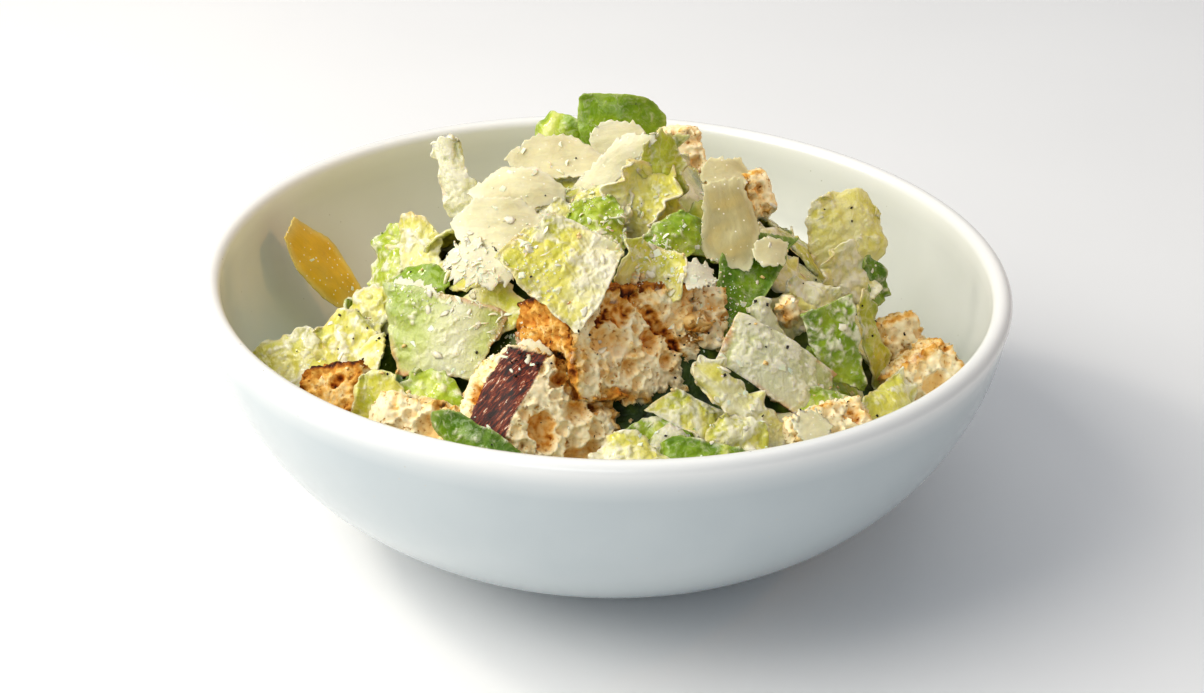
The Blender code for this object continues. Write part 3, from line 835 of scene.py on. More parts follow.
# %% Heart leaves
HEART_LEAVES = [
    ((-11, -58.2, 99), (36, 36), (10, 47), 0, 34, 16, 6, 0, 0.12, 0.9, 0.5, (0.55, 5, 0.9), (0.35, 0.6),
     0.05, 0.6, 0.42, 1, 0.45, ((0.16, -1), (0.95, 0.3), (-0.1, 0.93), (-1, 0.3))),
    ((8, -22, 101.5), (18, 25), (-4, 26), -12, -110, 12, 16, 0.1, 0.2, 0.8, 2.4, None, (0.25, 0.5), 0.08,
     0.55, 0.42, 2, 0.5),
    ((14, -17, 106), (13, 27), (16, 22), -6, 60, -10, 10, 0, 0.2, 0.8, 2.0, None, (0.6, 0.85), 0.1, 0.55,
     0.42, 3, 0.1),
    ((-2, -22, 100), (18, 13), (-6, 38), 12, 40, 20, 8, 0, 0.3, 1.0, 1.6, None, (0.1, 0.45), 0.08, 0.55,
     0.42, 18, 0.6),
    ((53, -31, 79), (18, 13), (25, 36), -20, 50, 30, 8, 0, 0.3, 1.2, 2.2, None, (0.0, 0.3), 0.1, 0.55, 0.45,
     35, 0.8),
    ((47, -36, 77), (13, 12), (20, 30), 24, 50, 30, 8, 0, 0.3, 1.0, 1.4, None, (0.1, 0.4), 0.1, 0.55, 0.45,
     36, 0.5),
    ((-14, -24, 97), (14, 12), (-5, 45), 30, 40, 20, 8, 0, 0.3, 1.0, 1.2, None, (0.1, 0.4), 0.08, 0.55,
     0.42, 37, 0.7),
    ((11.5, -45.5, 94.2), (21, 14), (10, 30), -24, -130, 20, 0, 0, 0.2, 0.4, 1.2, None, (0.3, 0.6), 0.06,
     0.5, 0.42, 4, 0.3),
    ((-83, -28, 54.5), (30, 19), (-25, 50), 34, 50, 20, 8, 0, 0.3, 1.0, 2.2, None, (0.3, 0.65), 0.1, 0.55,
     0.45, 5, 0.6),
    ((-68.5, -29, 61), (18, 21), (-25, 40), 30, 50, 30, 8, 0, 0.3, 1.0, 1.4, None, (0.3, 0.6), 0.1, 0.55,
     0.45, 6, 0.6),
    ((-57.5, -62, 60), (13, 22), (-20, 25), 6, -60, 20, 0, 0, 0.2, 0.25, 1.6, None, (0.5, 0.72), 0.08, 0.55,
     0.45, 7, 0.25),
    ((-54, -2, 74), (18, 24), (-45, 30), 20, 40, 20, 8, 0, 0.3, 0.9, 1.4, None, (0.1, 0.5), 0.08, 0.5, 0.45,
     8, 0.75),
    ((-64, -16, 64), (14, 18), (-35, 36), 24, 60, 20, 8, 0, 0.3, 1.0, 1.4, None, (0.2, 0.5), 0.1, 0.5, 0.45,
     17, 0.6),
    ((22, -71, 67), (23, 17), (12, 46), 0, 24, 20, 8, 0, 0, 0.7, 0.8, (0.1, 1.2, 0.8), (0.45, 0.72), 0.06,
     0.55, 0.42, 9, 0.8, ((-1, 0.35), (0.38, -1), (0.95, -0.06), (-0.3, 0.8))),
    ((36, -68, 68), (10, 35), (24, 34), 36, 60, 24, 14, 0.1, 0.2, 0.5, 1.5, (-0.5, 1.2, 1.0), (0.1, 0.45),
     0.06, 0.5, 0.42, 10, 0.6),
    ((34, -76, 62), (17, 14), (14, 44), -24, 34, 30, 8, 0, 0.3, 1.1, 1.4, None, (0.35, 0.68), 0.08, 0.55,
     0.42, 11, 0.8),
    ((66, 9, 81), (25, 26), (20, 30), -20, 60, 40, 8, 0, 0.4, 0.8, 0.8, None, (0.15, 0.45), 0.05, 0.5, 0.5,
     12, 0.45),
    ((65, -7, 76), (16, 17), (35, 24), -10, 50, 30, 10, 0, 0.3, 1.4, 2.6, None, (0.1, 0.4), 0.1, 0.5, 0.5,
     13, 0.75),
    ((71, -32, 68), (8, 30), (50, 20), 2, 40, 10, 6, 0, 0.2, 1.0, 1.0, None, (0.6, 0.85), 0.06, 0.5, 0.5,
     14, 0.3),
    ((8, -86, 61), (22, 14), (0, 52), -30, 40, 30, 0, 0, 0.2, 1.0, 1.6, None, (0.15, 0.5), 0.1, 0.55, 0.45,
     15, 0.6),
    ((74, -52, 61), (20, 12), (30, 50), 24, 40, 30, 0, 0, 0.2, 1.0, 2.0, None, (0.25, 0.6), 0.1, 0.55, 0.5,
     16, 0.4),
]
serve("romaine_heart_leaves", gather([leaf(*row) for row in HEART_LEAVES]), heart_finish)

# %% Outer leaves
OUTER_LEAVES = [
    ((-3, -31, 99), (15, 17), (-4, 38), 24, 50, 30, 0, 0, 0.3, 0.9, 1.0, None, (0.05, 0.35), 0.08, 0.6, 0.4,
     21, 0.4),
    ((17, -33, 97), (19, 12), (14, 38), 32, 70, 30, 0, 0, 0.3, 0.9, 0.8, None, (0.2, 0.5), 0.08, 0.6, 0.4,
     22, 0.2),
    ((38, -35, 86.5), (34, 29), (22, 44), 0, 34, 10, 4, 0, 0, 0.6, 0.4, (-0.9, 1.6, 1.0), (0.42, 0.85),
     0.03, 0.6, 0.42, 23, -0.1, ((-0.95, -1), (-0.5, -1), (1, 0.78), (-0.3, 1))),
    ((-50, -23, 78), (18, 10), (-35, 44), 16, 50, 20, 0, 0, 0.2, 0.6, 1.0, None, (0.3, 0.6), 0.08, 0.55,
     0.45, 24, 0.1),
    ((-44, -62, 65), (17, 14), (-16, 40), -12, 50, 30, 0, 0, 0.3, 0.9, 1.2, None, (0.05, 0.4), 0.1, 0.55,
     0.45, 25, 0.6),
    ((-26, -88, 64), (38, 8), (-8, 46), -27, 40, 40, 10, 0, 0.15, 0.4, 0.4, (0.6, 1.1, 0.6), (0.45, 0.85),
     0.05, 0.6, 0.42, 26, 0.15),
    ((59, -44, 74), (19, 27), (24, 24), 0, 26, 10, 4, 0, 0, 0.7, 0.5, None, (0.2, 0.55), 0.04, 0.6, 0.42,
     27, 0.45, ((-0.45, -0.55), (0.75, -1), (0.78, 0.88), (-0.95, 0.66))),
    ((26, -83, 61), (26, 11), (10, 48), -16, 36, 40, 0, 0, 0.2, 0.7, 0.8, (0.3, 1.2, 0.8), (0.35, 0.7),
     0.08, 0.6, 0.42, 28, 0.25),
    ((14, -77, 61), (22, 15), (4, 44), 16, 40, 30, 0, 0, 0.2, 0.8, 1.0, (0.1, 1.2, 0.8), (0.15, 0.55), 0.08,
     0.6, 0.42, 34, 0.45),
    ((58, -60, 64), (17, 9), (26, 44), -30, 30, 20, 0, 0, 0.2, 0.7, 0.8, None, (0.1, 0.4), 0.08, 0.55, 0.45,
     29, 0.5),
    ((2, 20, 110), (27.5, 23), (0, 20), 4, 64, 20, 8, 0, 0.2, 0.12, 0.4, None, (0.46, 0.6), 0.03, 0.7, 0.5,
     30, -0.7, ((-0.75, -1), (1, -1), (0.95, 0.35), (-0.95, 0.6))),
    ((-14, 25, 101), (16, 12), (-10, 30), -20, 50, 20, 0, 0, 0.2, 0.7, 1.0, (-0.5, 2.2, 1.0), (0.2, 0.6),
     0.06, 0.6, 0.5, 31, 0.0),
    ((-60, 2, 72), (14, 22), (-50, 30), 20, 40, 20, 0, 0, 0.3, 1.1, 1.0, None, (0.0, 0.35), 0.06, 0.55, 0.5,
     32, 0.65),
    ((73, -3, 73), (7, 15), (50, 24), 0, 40, 20, 0, 0, 0.3, 1.0, 1.0, None, (0.45, 0.75), 0.08, 0.55, 0.5,
     33, 0.2),
]
greens = gather([leaf(*row) for row in OUTER_LEAVES])
serve("romaine_outer_leaves", greens, green_finish, ["leaf_top", "leaf_top_left"])

# %% Ribs
RIBS = [
    ((-43.5, -47, 76), (37, 26), (-22, 34), 0, 44, 24, 6, 0, 0, 0.4, 0.3, (0.4, 8, 1.2), (0.25, 0.95), 0.03,
     0.9, 0.45, 41, 0.12, ((-0.45, -1), (0.75, -0.75), (1, 0.72), (-1, 0.8))),
    ((44.5, -57, 73), (36, 31), (22, 34), -5, 40, 24, 8, 0, 0, 0.35, 0.3, (-0.1, 9, 1.2), (0.05, 0.5), 0.03,
     0.9, 0.45, 42, 0.6, ((-0.92, 0.25), (0.4, -0.97), (1, -0.12), (-0.55, 1))),
    ((41.5, -47.5, 78.5), (8, 19), (20, 30), 6, 80, 20, 8, -0.1, 0.2, 0.5, 0.5, (0, 3, 1.2), (0.0, 0.25),
     0.05, 0.9, 0.45, 43, 0.25),
    ((-42, 2, 98), (9, 22), (-10, 18), 23, 70, 10, 0, -0.1, 0.1, 0.7, 0.7, (0.0, 3, 1.0), (0.0, 0.25), 0.12,
     0.9, 0.45, 44, 1.2),
]
serve("romaine_midribs", gather([leaf(*row) for row in RIBS]), rib_finish, ["rib_left"])

# %% [markdown]
# ## The leaves underneath
#
# The rest of the heap is the same three kinds of leaf, smaller in view. They are scattered over the
# mound on a sunflower spiral, which spaces points evenly, and each lies flat on the mound there, tipped
# a little at random. They are made with larger faces, as they are mostly covered. At the back, where
# nothing else lies on them, they are half as large again, so that each overlaps the next. A leaf stays
# away from the croutons, and from three places on the right where the leaves above leave deep shade.

# %% Room for a leaf
# x, y and radius in millimetres; in these clearings the core's painted shade shows through
CLEARINGS = ((41, -40, 12), (52, -28, 11), (27, -54, 8))


def mound_facing(x, y):
    """(bearing, elevation) of the mound's surface, from its slope over three millimetres."""
    step = 1.5
    rise_x = (mound_height(x + step, y) - mound_height(x - step, y)) / (2 * step)
    rise_y = (mound_height(x, y + step) - mound_height(x, y - step)) / (2 * step)
    normal = Vector((-rise_x, -rise_y, 1)).normalized()
    return math.degrees(math.atan2(normal.x, -normal.y)), math.degrees(math.asin(normal.z))


def kept_clear(x, y):
    """Whether this place, in millimetres, lies in a clearing or over the box of a crouton."""
    if any(math.hypot(x - clear_x, y - clear_y) < reach for clear_x, clear_y, reach in CLEARINGS):
        return True
    for name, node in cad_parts.items():
        if name.startswith("crouton"):
            corners = [node.matrix_world @ vert.co / MM for vert in node.data.vertices]
            xs, ys = [corner.x for corner in corners], [corner.y for corner in corners]
            if min(xs) < x < max(xs) and min(ys) < y < max(ys):
                return True
    return False


print("clear above a crouton:", kept_clear(0, -50), "and at the back:", kept_clear(0, 60))

# %% Scattered leaves
# how many places the spiral has, how far out it goes in mm, and its turn from place to place in radians
SPREAD, SPREAD_REACH, GOLDEN_ANGLE = 120, 100, 2.399963
# the room in mm that a leaf keeps to the wall, and how much larger leaves are from which y in mm on
WALL_ROOM, BACK_FROM, BACK_LARGER = 5, -8, 1.5
rng = random.Random(5)
under = {"heart": [], "outer": [], "rib": []}
for step in range(SPREAD):
    reach = SPREAD_REACH * math.sqrt((step + 0.5) / SPREAD)
    bearing = step * GOLDEN_ANGLE
    x, y = reach * math.sin(bearing), reach * math.cos(bearing)
    height = mound_height(x, y)
    room = inside_radius(LIP_HEIGHT - height) if height < LIP_HEIGHT else BOWL_RADIUS
    if reach > room - WALL_ROOM:
        x, y = (place * (room - WALL_ROOM - 1) / reach for place in (x, y))
        height = mound_height(x, y)
    if kept_clear(x, y):
        continue
    round_by, elevation = mound_facing(x, y)
    kind = rng.choices(["heart", "outer", "rib"], [0.52, 0.36, 0.12])[0]
    firm = kind == "rib"
    size = (rng.uniform(12, 18), rng.uniform(16, 24)) if firm else (rng.uniform(16, 26), rng.uniform(13, 22))
    if y > BACK_FROM:
        size = (size[0] * BACK_LARGER, size[1] * BACK_LARGER)
    low = rng.uniform(0.1, 0.45)
    rib = None
    if rng.random() < 0.6:
        rib = (rng.uniform(-0.4, 0.4), rng.uniform(1.2, 2.4), rng.uniform(0.6, 1.2))
    placed = leaf(
        (x, y, height + rng.uniform(-1.5, 1.5)), size,
        (round_by + rng.uniform(-25, 25), min(86, max(12, elevation + rng.uniform(-22, 12)))),
        rng.uniform(-180, 180), bend=rng.uniform(20, 70), curl=rng.uniform(0, 40),
        twist=rng.uniform(-20, 20), taper=rng.uniform(-0.2, 0.2), corner=0.25,
        pucker=0.3 if firm else rng.uniform(0.9, 1.4), ruffle=0.4 if firm else rng.uniform(0.5, 1.3),
        rib=(0, 6, 1.4) if firm else rib, green=(low, low + 0.35), ragged=0.1, thick=0.7, cell=1.1,
        seed=100 + step, coat=rng.uniform(0.1, 0.8),
    )
    under[kind].append(placed)
print({kind: len(leaves) for kind, leaves in under.items()}, "leaves underneath")
serve("hearts_underneath", gather(under["heart"]), heart_finish)
serve("outer_leaves_underneath", gather(under["outer"]), green_finish)
serve("midribs_underneath", gather(under["rib"]), rib_finish)

# %% [markdown]
# ## Croutons
#
# The croutons are torn from an open white loaf. Its crumb is full of bubbles of every size, so the
# surface is mostly craters with thin walls between them, browned along every edge that stood up in the
# pan. The solid of each crouton already has the right block. A copy of it is remeshed into even small
# faces; then every point that lies inside one of hundreds of seeded balls is pushed in along its
# normal until it reaches the far side of that ball, which is just what a bubble cut open looks like.
# No bubble in dough is quite round, so the space in which the balls are measured is first warped by
# a noise vector. The largest bubbles have places of their own, and two chains of them tear the crouton
# in the middle open along a crevice painted dark brown inside, a painted shade. Where that crouton and
# the one with the crust meet, both are worn back and painted browner, a painted shade, so that a seam
# shows between them.
#
# Three numbers go to the finish: `hollow`, how deep a point is in a bubble, which the finish darkens as
# painted shade, `toast`, how brown it is, which deep in a bubble is partly toast and partly painted
# shade and along the seam is painted shade, and `crust`, which is 1 on the loaf's own baked crust.
# `block` is the point's place on its block in millimetres, which the streaks on the crust follow.

# %% Places of the croutons
# name: centre, (width, height, depth), facing, turn, toast of the sides (left, top, front), and the
# crouton's own bubbles: place on the block, radius and how brown it is inside, which is partly toast
# and partly painted shade
CROUTONS = {
    "crouton_crust": (
        (-16, -67.5, 63), (35.5, 29, 22), (28, 32), -25, (0.0, 0.3, 0.0),
        [(-3, -4, 11, 4.2, 0.4), (-1, -7, 11, 3.2, 0.5), (5, 1.5, 14.5, 5, 0.0), (8, -10, 11, 4.0, 0.25),
         (12, -6, 11, 3.0, 0.3), (10, 4, 10, 2.6, 0.35), (-1, 8.5, 11.5, 2.4, 0.3), (-18, 2, 1, 3.2, 0.4)],
    ),
    "crouton_middle": (
        (1, -50.5, 75), (39, 29, 26), (36, 25), -8, (0.43, 0.75, 0.04),
        [(-4, 9, 15.5, 5.6, 0.5), (-7.5, 8.5, 11.5, 2.3, 1.0), (-4.5, 11, 11.8, 1.6, 1.0),
         (-10, 6.5, 11.8, 1.8, 0.9), (-2, 7, 12, 1.6, 0.8), (-10, 2.5, 14.5, 4.4, 0.15),
         (-5.5, 1.5, 14.5, 4.2, 0.15), (4, 0.5, 13.2, 3.6, 0.4), (-2.7, -5.5, 13.8, 3.0, 0.2),
         (8, -5, 14, 2.6, 0.15), (12, 9, 14.2, 2.6, 0.4), (8, 11.5, 14, 1.8, 0.5)]
        + [(step * 1.1 - 1.5, 14.8 - step * 1.35, 11.8, 2.0, 0.7) for step in range(13)]
        + [(13.5 + step * 0.3, -4 - step * 1.3, 12, 1.8, 0.6) for step in range(7)],
    ),
    "crouton_high": (
        (15.5, -42, 79.5), (27, 19, 17), (30, 42), -20, (0.1, 0.6, 0.0),
        [(-8, 4, 9, 3.4, 0.3), (-5, 4.5, 9, 3.2, 0.3), (3, 4, 9, 3.2, 0.25), (6, -3, 9, 3.4, 0.1),
         (3.5, -3.5, 9, 3.2, 0.1), (-4, -4, 9, 2.8, 0.1)],
    ),
    "crouton_left": ((-68, -50, 57), (17, 14, 15), (-20, 45), 20, (0.5, 0.6, 0.45), [(2, 2, 8, 2.2, 0.5)]),
    "crouton_left_front": (
        (-46, -66, 55), (25, 18, 19), (-10, 40), -8, (0.02, 0.08, 0.02),
        [(4, 2, 11, 4, 0.0), (-5, -2, 10, 2.6, 0.1)],
    ),
    "crouton_right": (
        (85, -34, 56), (19, 20, 17), (20, 30), 25, (0.05, 0.3, 0.02),
        [(0, 1, 10, 4.4, 0.0), (5, -4, 9, 2, 0.2)],
    ),
    "crouton_right_front": (
        (56, -64, 57), (21, 15, 18), (15, 40), 12, (0.0, 0.05, 0.0), [(7, 3, 9, 2.4, 0.5)],
    ),
    "crouton_crumb": ((47, -38, 80), (6, 6, 5), (30, 30), 25, (0.1, 0.2, 0.1), []),
    "crouton_right_back": ((80, -8, 56), (12, 15, 12), (20, 30), 10, (0.1, 0.2, 0.1), []),
    "crouton_top_back": ((20, 12, 99), (10, 20, 11), (15, 30), 4, (0.0, 0.02, 0.0), []),
    "crouton_behind": ((39, 2, 95), (8, 12, 8), (25, 30), 10, (0.15, 0.2, 0.15), [(0, 1, 4, 1.6, 0.6)]),
}
CRUST_SIDE = Vector((-1, 0, 1)).normalized()
print(len(CROUTONS), "croutons")


# %% Even faces on a copy of a solid
def remeshed_copy(node, voxel):
    """A CAD node's mesh, merged, then rebuilt from even square faces of a size in millimetres."""
    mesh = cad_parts[node].data.copy()
    bm = bmesh.new()
    bm.from_mesh(mesh)
    bmesh.ops.remove_doubles(bm, verts=bm.verts, dist=1e-6)
    bm.to_mesh(mesh)
    bm.free()
    block = bpy.data.objects.new("block", mesh)
    bpy.context.scene.collection.objects.link(block)
    remesh = block.modifiers.new("even", "REMESH")
    remesh.mode = "VOXEL"
    remesh.voxel_size = voxel * MM
    even = bpy.data.meshes.new_from_object(block.evaluated_get(bpy.context.evaluated_depsgraph_get()))
    bpy.data.objects.remove(block)
    bpy.data.meshes.remove(mesh)
    made = bmesh.new()
    made.from_mesh(even)
    bpy.data.meshes.remove(even)
    bmesh.ops.smooth_vert(
        made, verts=made.verts, factor=0.5, use_axis_x=True, use_axis_y=True, use_axis_z=True
    )
    made.normal_update()
    return made


def surface_of(node):
    """A search tree over a CAD node's faces."""
    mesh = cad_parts[node].data
    return BVHTree.FromPolygons(
        [vert.co for vert in mesh.vertices], [face.vertices for face in mesh.polygons]
    )


test = remeshed_copy("crouton_crust", 0.6)
print("crouton_crust remeshed:", len(test.faces), "faces")
test.free()

# %% [markdown]
# Besides its own bubbles a crouton has one seeded ball for every 3.8 square millimetres of its skin,
# most of them under a millimetre in radius. A tree of the points finds those that a ball holds. Each
# point keeps the deepest hollow that was pushed into it, how brown that bubble is, partly toast and
# partly painted shade, and whether it is on the wall round a large one.

# %% Bubbles
# square millimetres of skin for each random bubble, then the radius from which one is large, and the
# width of the wall round it, in millimetres
SKIN_PER_BUBBLE, LARGE, WALL_WIDTH = 3.8, 1.4, 0.4


def bubbles(own, warped, normals, voxel, rng):
    """(centre, radius, brown) balls on a block: its own ones, then random ones all over its skin."""
    balls = [(Vector(ball[:3]), ball[3], ball[4]) for ball in own]
    for _ in range(round(len(warped) * voxel * voxel / SKIN_PER_BUBBLE)):
        index = rng.randrange(len(warped))
        ranges = ((0.4, 0.6), (0.4, 0.8), (0.6, 1.1), (0.8, 2.0))
        radius = rng.choice([rng.uniform(*limits) for limits in ranges])
        # a larger bubble is browned inside, partly toast and partly painted shade
        brown = rng.uniform(0.0, 0.35) if radius > 1.0 else 0.0
        balls.append((warped[index] + normals[index] * radius * rng.uniform(0.0, 0.4), radius, brown))
    return balls


def press_in(balls, warped, normals):
    """For each point: how deep the balls sink it, how brown it gets, and how near a large wall it is."""
    finder = kdtree.KDTree(len(warped))
    for index, place in enumerate(warped):
        finder.insert(place, index)
    finder.balance()
    depth, browned, walls = [0.0] * len(warped), [0.0] * len(warped), [0.0] * len(warped)
    for centre, radius, brown in balls:
        for place, index, distance in finder.find_range(centre, radius + 0.7):
            if radius > LARGE:
                walls[index] = max(walls[index], math.exp(-(((distance - radius) / WALL_WIDTH) ** 2)))
            if distance < radius:
                along = normals[index].dot(place - centre)
                sunk = along + math.sqrt(along * along - distance * distance + radius * radius)
                if sunk > depth[index]:
                    depth[index] = sunk
                    browned[index] = brown
    return depth, browned, walls


# %% Bread
# in millimetres: how near the neighbour a seam begins, and how deep it is worn
SEAM_REACH, SEAM_DEPTH = 2.4, 1.2
BESIDE = {"crouton_crust": "crouton_middle", "crouton_middle": "crouton_crust"}


def bread(node, voxel):
    """A crouton with its bubbles, as a bmesh that keeps hollow, toast, crust and block."""
    at, size, facing, turn, (left, top, front), own = CROUTONS[node]
    bm = remeshed_copy(node, voxel)
    layers = [bm.verts.layers.float.new(name) for name in ("hollow", "toast", "crust")]
    block = bm.verts.layers.float_vector.new("block")
    to_block = facing_matrix(at, facing, turn).inverted()
    turn_back = to_block.to_3x3()
    places = [to_block @ vert.co / MM for vert in bm.verts]
    normals = [turn_back @ vert.normal for vert in bm.verts]
    warped = [p + noise.noise_vector(p / 2.6) * 1.1 + noise.noise_vector(p / 0.9) * 0.35 for p in places]
    balls = bubbles(own, warped, normals, voxel, random.Random(node))
    neighbour = surface_of(BESIDE[node]) if node in BESIDE else None
    for vert, place, normal, sunk, brown, wall in zip(
        bm.verts, places, normals, *press_in(balls, warped, normals)
    ):
        crust = smooth_step(0.80, 0.93, normal.dot(CRUST_SIDE)) if node == "crouton_crust" else 0.0
        sunk = min(sunk, min(size) * 0.42) * (1 - crust)
        gap = neighbour.find_nearest(vert.co, SEAM_REACH * MM)[3] if neighbour else None
        seam = 0.0 if gap is None else smooth_step(SEAM_REACH, 0.4, gap / MM)
        # the block's flat faces give way to lumps, and the bubbles' walls stand up between them
        rough = noise.noise(place / 1.3) * 0.14 + noise.noise(place / 0.6) * 0.08
        lumps = abs(noise.noise(place / 5.5 + Vector(at))) * 0.35
        deep = smooth_step(0.3, 2.6, sunk)
        inward = sunk + (lumps - 0.5 - 0.6 * wall * (1 - deep)) * (1 - crust) + rough * (1 - 0.8 * crust)
        inward += SEAM_DEPTH * seam * (1 - crust)
        vert.co -= turn_back.transposed() @ normal * inward * MM
        # toast on the pan sides, corners and patches; painted shade on the seam and, in part, in bubbles
        corner = smooth_step(0.72, 1.0, sorted(abs(place[i]) * 2 / size[i] for i in range(3))[1])
        sides = left * max(0.0, -normal.x) + top * max(0.0, normal.y) + front * max(0.0, normal.z)
        patch = noise.noise(place / 6 + Vector((3, 1, 2))) * 0.34 + noise.noise(place / 2.2) * 0.16
        toast_and_shade_inside = 0.8 + noise.noise(place / 1.2 + Vector((4, 0, 8))) * 1.2
        toast = sides + corner * 0.3 + seam * 0.3 + wall * 0.05 * (1 - deep)
        toast += patch * 0.8 - 0.05 + brown * deep * toast_and_shade_inside
        for layer, value in zip(layers, (deep, min(1.0, max(0.0, toast)), crust)):
            vert[layer] = value
        vert[block] = place
    return bm


# sizes in millimetres of the faces of a large, a middling and a small crouton
FINE, MIDDLE, COARSE = 0.52, 0.66, 0.8
baked = []
for node in CROUTONS:
    longest = max(CROUTONS[node][1])
    baked.append(bread(node, FINE if longest > 26 else MIDDLE if longest > 15 else COARSE))
print("bread points:", sum(len(bm.verts) for bm in baked))

# %% [markdown]
# The crumb of white bread is cream, dull and a little translucent. Toasting takes it through straw and
# amber to a dark brown. Deep in a bubble it is painted darker and warmer, a painted shade. Between the
# big bubbles there are pores of up to two millimetres and of up to one, which the cells of a bent
# Voronoi texture draw: each holds one pore of its own width, painted darker as painted shade. Here and
# there a little dressing lies on the crumb, paler and glossier.

# %% Crumb
bread_finish, tree, shader = new_material(
    "toasted white bread", Roughness=0.62, IOR=1.45, Specular_IOR_Level=0.35,
    Subsurface_Weight=0.15, Subsurface_Radius=(0.9, 0.65, 0.4), Subsurface_Scale=1.5 * MM,
)
place = add_node(tree, "ShaderNodeTexCoord").outputs["Object"]
hollow, toast, crust = (
    add_node(tree, "ShaderNodeAttribute", {"attribute_name": layer}).outputs["Fac"]
    for layer in ("hollow", "toast", "crust")
)
fleck = add_node(
    tree, "ShaderNodeTexNoise", inputs={"Scale": per_metre(1.429), "Detail": 4.0}, links={"Vector": place}
)
spotted = add_node(
    tree, "ShaderNodeMath", {"operation": "MULTIPLY_ADD"}, {1: 0.7, 2: -0.35}, {0: fleck.outputs["Fac"]}
)
brown = add_node(
    tree, "ShaderNodeMath", {"operation": "ADD", "use_clamp": True},
    links={0: toast, 1: spotted.outputs["Value"]},
)
crumb = add_node(
    tree, "ShaderNodeValToRGB", links={"Fac": brown.outputs["Value"]},
    stops=[
        (0.0, "FFF2CC"), (0.2, "FBE2AA"), (0.4, "E4B45E"), (0.6, "C2842C"), (0.8, "8A4B10"), (1.0, "3A1A06"),
    ],
)
crooked = add_node(
    tree, "ShaderNodeTexNoise", inputs={"Scale": per_metre(1.25), "Detail": 2.0}, links={"Vector": place}
)
bent = add_node(
    tree, "ShaderNodeVectorMath", {"operation": "MULTIPLY_ADD"}, {1: (2.2 * MM, 2.2 * MM, 2.2 * MM)},
    {0: crooked.outputs["Color"], 2: place},
)
WIDEST_PORE = 0.4
pored = crumb.outputs["Color"]
pores = []
# painted shade: each pore is darkened by multiplying in a browner colour
for size, pore_shade_colour in ((2.38, "D6AA6C"), (1.053, "E6C88E")):
    cells = add_node(
        tree, "ShaderNodeTexVoronoi", inputs={"Scale": per_metre(size)},
        links={"Vector": bent.outputs["Vector"]},
    )
    reach = add_node(
        tree, "ShaderNodeMath", {"operation": "MULTIPLY"}, {1: WIDEST_PORE}, {0: cells.outputs["Color"]}
    )
    into = add_node(
        tree, "ShaderNodeMath", {"operation": "SUBTRACT"},
        links={0: reach.outputs["Value"], 1: cells.outputs["Distance"]},
    )
    pore = add_node(
        tree, "ShaderNodeMath", {"operation": "MULTIPLY", "use_clamp": True}, {1: 5.0},
        {0: into.outputs["Value"]},
    )
    mixed = add_node(
        tree, "ShaderNodeMix", {"data_type": "RGBA", "blend_type": "MULTIPLY"}, {"B": linear(pore_shade_colour)},
        {"Factor": pore.outputs["Value"], "A": pored},
    )
    pored = mixed.outputs["Result"]
    pores.append(pore.outputs["Value"])
# painted shade: the crumb is darkened and warmed deep in a bubble
sunk = add_node(tree, "ShaderNodeMath", {"operation": "MULTIPLY"}, {1: 0.8}, {0: hollow})
shaded = add_node(
    tree, "ShaderNodeMix", {"data_type": "RGBA", "blend_type": "MULTIPLY"}, {"B": linear("F0D29A")},
    {"Factor": sunk.outputs["Value"], "A": pored},
)

# %% [markdown]
# The loaf's crust is much darker, a red brown, and here the dressing has run over it in pale streaks,
# about a millimetre wide and four long, that cross the crust at a slant. They are a noise stretched
# along the crust, so they read the place on the block. A Mapping node of type TEXTURE turns the noise
# before it stretches it, where one of type POINT would stretch first.

# %% Crust
# in millimetres and degrees
STREAK_WIDE, STREAK_LONG, STREAK_SLANT = 0.8, 4.0, -30
block = add_node(tree, "ShaderNodeAttribute", {"attribute_name": "block"}).outputs["Vector"]
slant = Matrix.Rotation(math.radians(STREAK_SLANT), 4, CRUST_SIDE).to_euler()
run = add_node(
    tree, "ShaderNodeMapping", {"vector_type": "TEXTURE"},
    {"Scale": (STREAK_WIDE, STREAK_LONG, STREAK_WIDE), "Rotation": slant}, {"Vector": block},
)
streak = add_node(
    tree, "ShaderNodeTexNoise", inputs={"Scale": 1.0, "Detail": 5.0, "Roughness": 0.7, "Distortion": 0.6},
    links={"Vector": run.outputs["Vector"]},
)
baked_crust = add_node(
    tree, "ShaderNodeValToRGB", links={"Fac": streak.outputs["Fac"]},
    stops=[(0.38, "120302"), (0.48, "461104"), (0.56, "7E2B08"), (0.61, "9E6440"), (0.66, "EADCC6")],
)
whole = add_node(
    tree, "ShaderNodeMix", {"data_type": "RGBA"},
    links={"Factor": crust, "A": shaded.outputs["Result"], "B": baked_crust.outputs["Color"]},
)

# %% Dressing and relief of the bread
cover = add_node(
    tree, "ShaderNodeTexNoise", inputs={"Scale": per_metre(7.69), "Detail": 5.0, "Roughness": 0.65},
    links={"Vector": place},
)
cream = add_node(
    tree, "ShaderNodeMapRange", inputs={"From Min": 0.58, "From Max": 0.68, "To Max": 0.5},
    links={"Value": cover.outputs["Fac"]},
)
dry = add_node(tree, "ShaderNodeMath", {"operation": "SUBTRACT"}, {0: 1.0}, {1: crust})
held = add_node(
    tree, "ShaderNodeMath", {"operation": "MULTIPLY"},
    links={0: cream.outputs["Result"], 1: dry.outputs["Value"]},
)
dressed = add_node(
    tree, "ShaderNodeMix", {"data_type": "RGBA"}, {"B": linear("FFF5DA")},
    {"Factor": held.outputs["Value"], "A": whole.outputs["Result"]},
)
tree.links.new(dressed.outputs["Result"], shader.inputs["Base Color"])
baked_gloss = add_node(tree, "ShaderNodeMath", {"operation": "MULTIPLY"}, {1: 0.5}, {0: crust})
glossy = add_node(
    tree, "ShaderNodeMath", {"operation": "MAXIMUM"},
    links={0: held.outputs["Value"], 1: baked_gloss.outputs["Value"]},
)
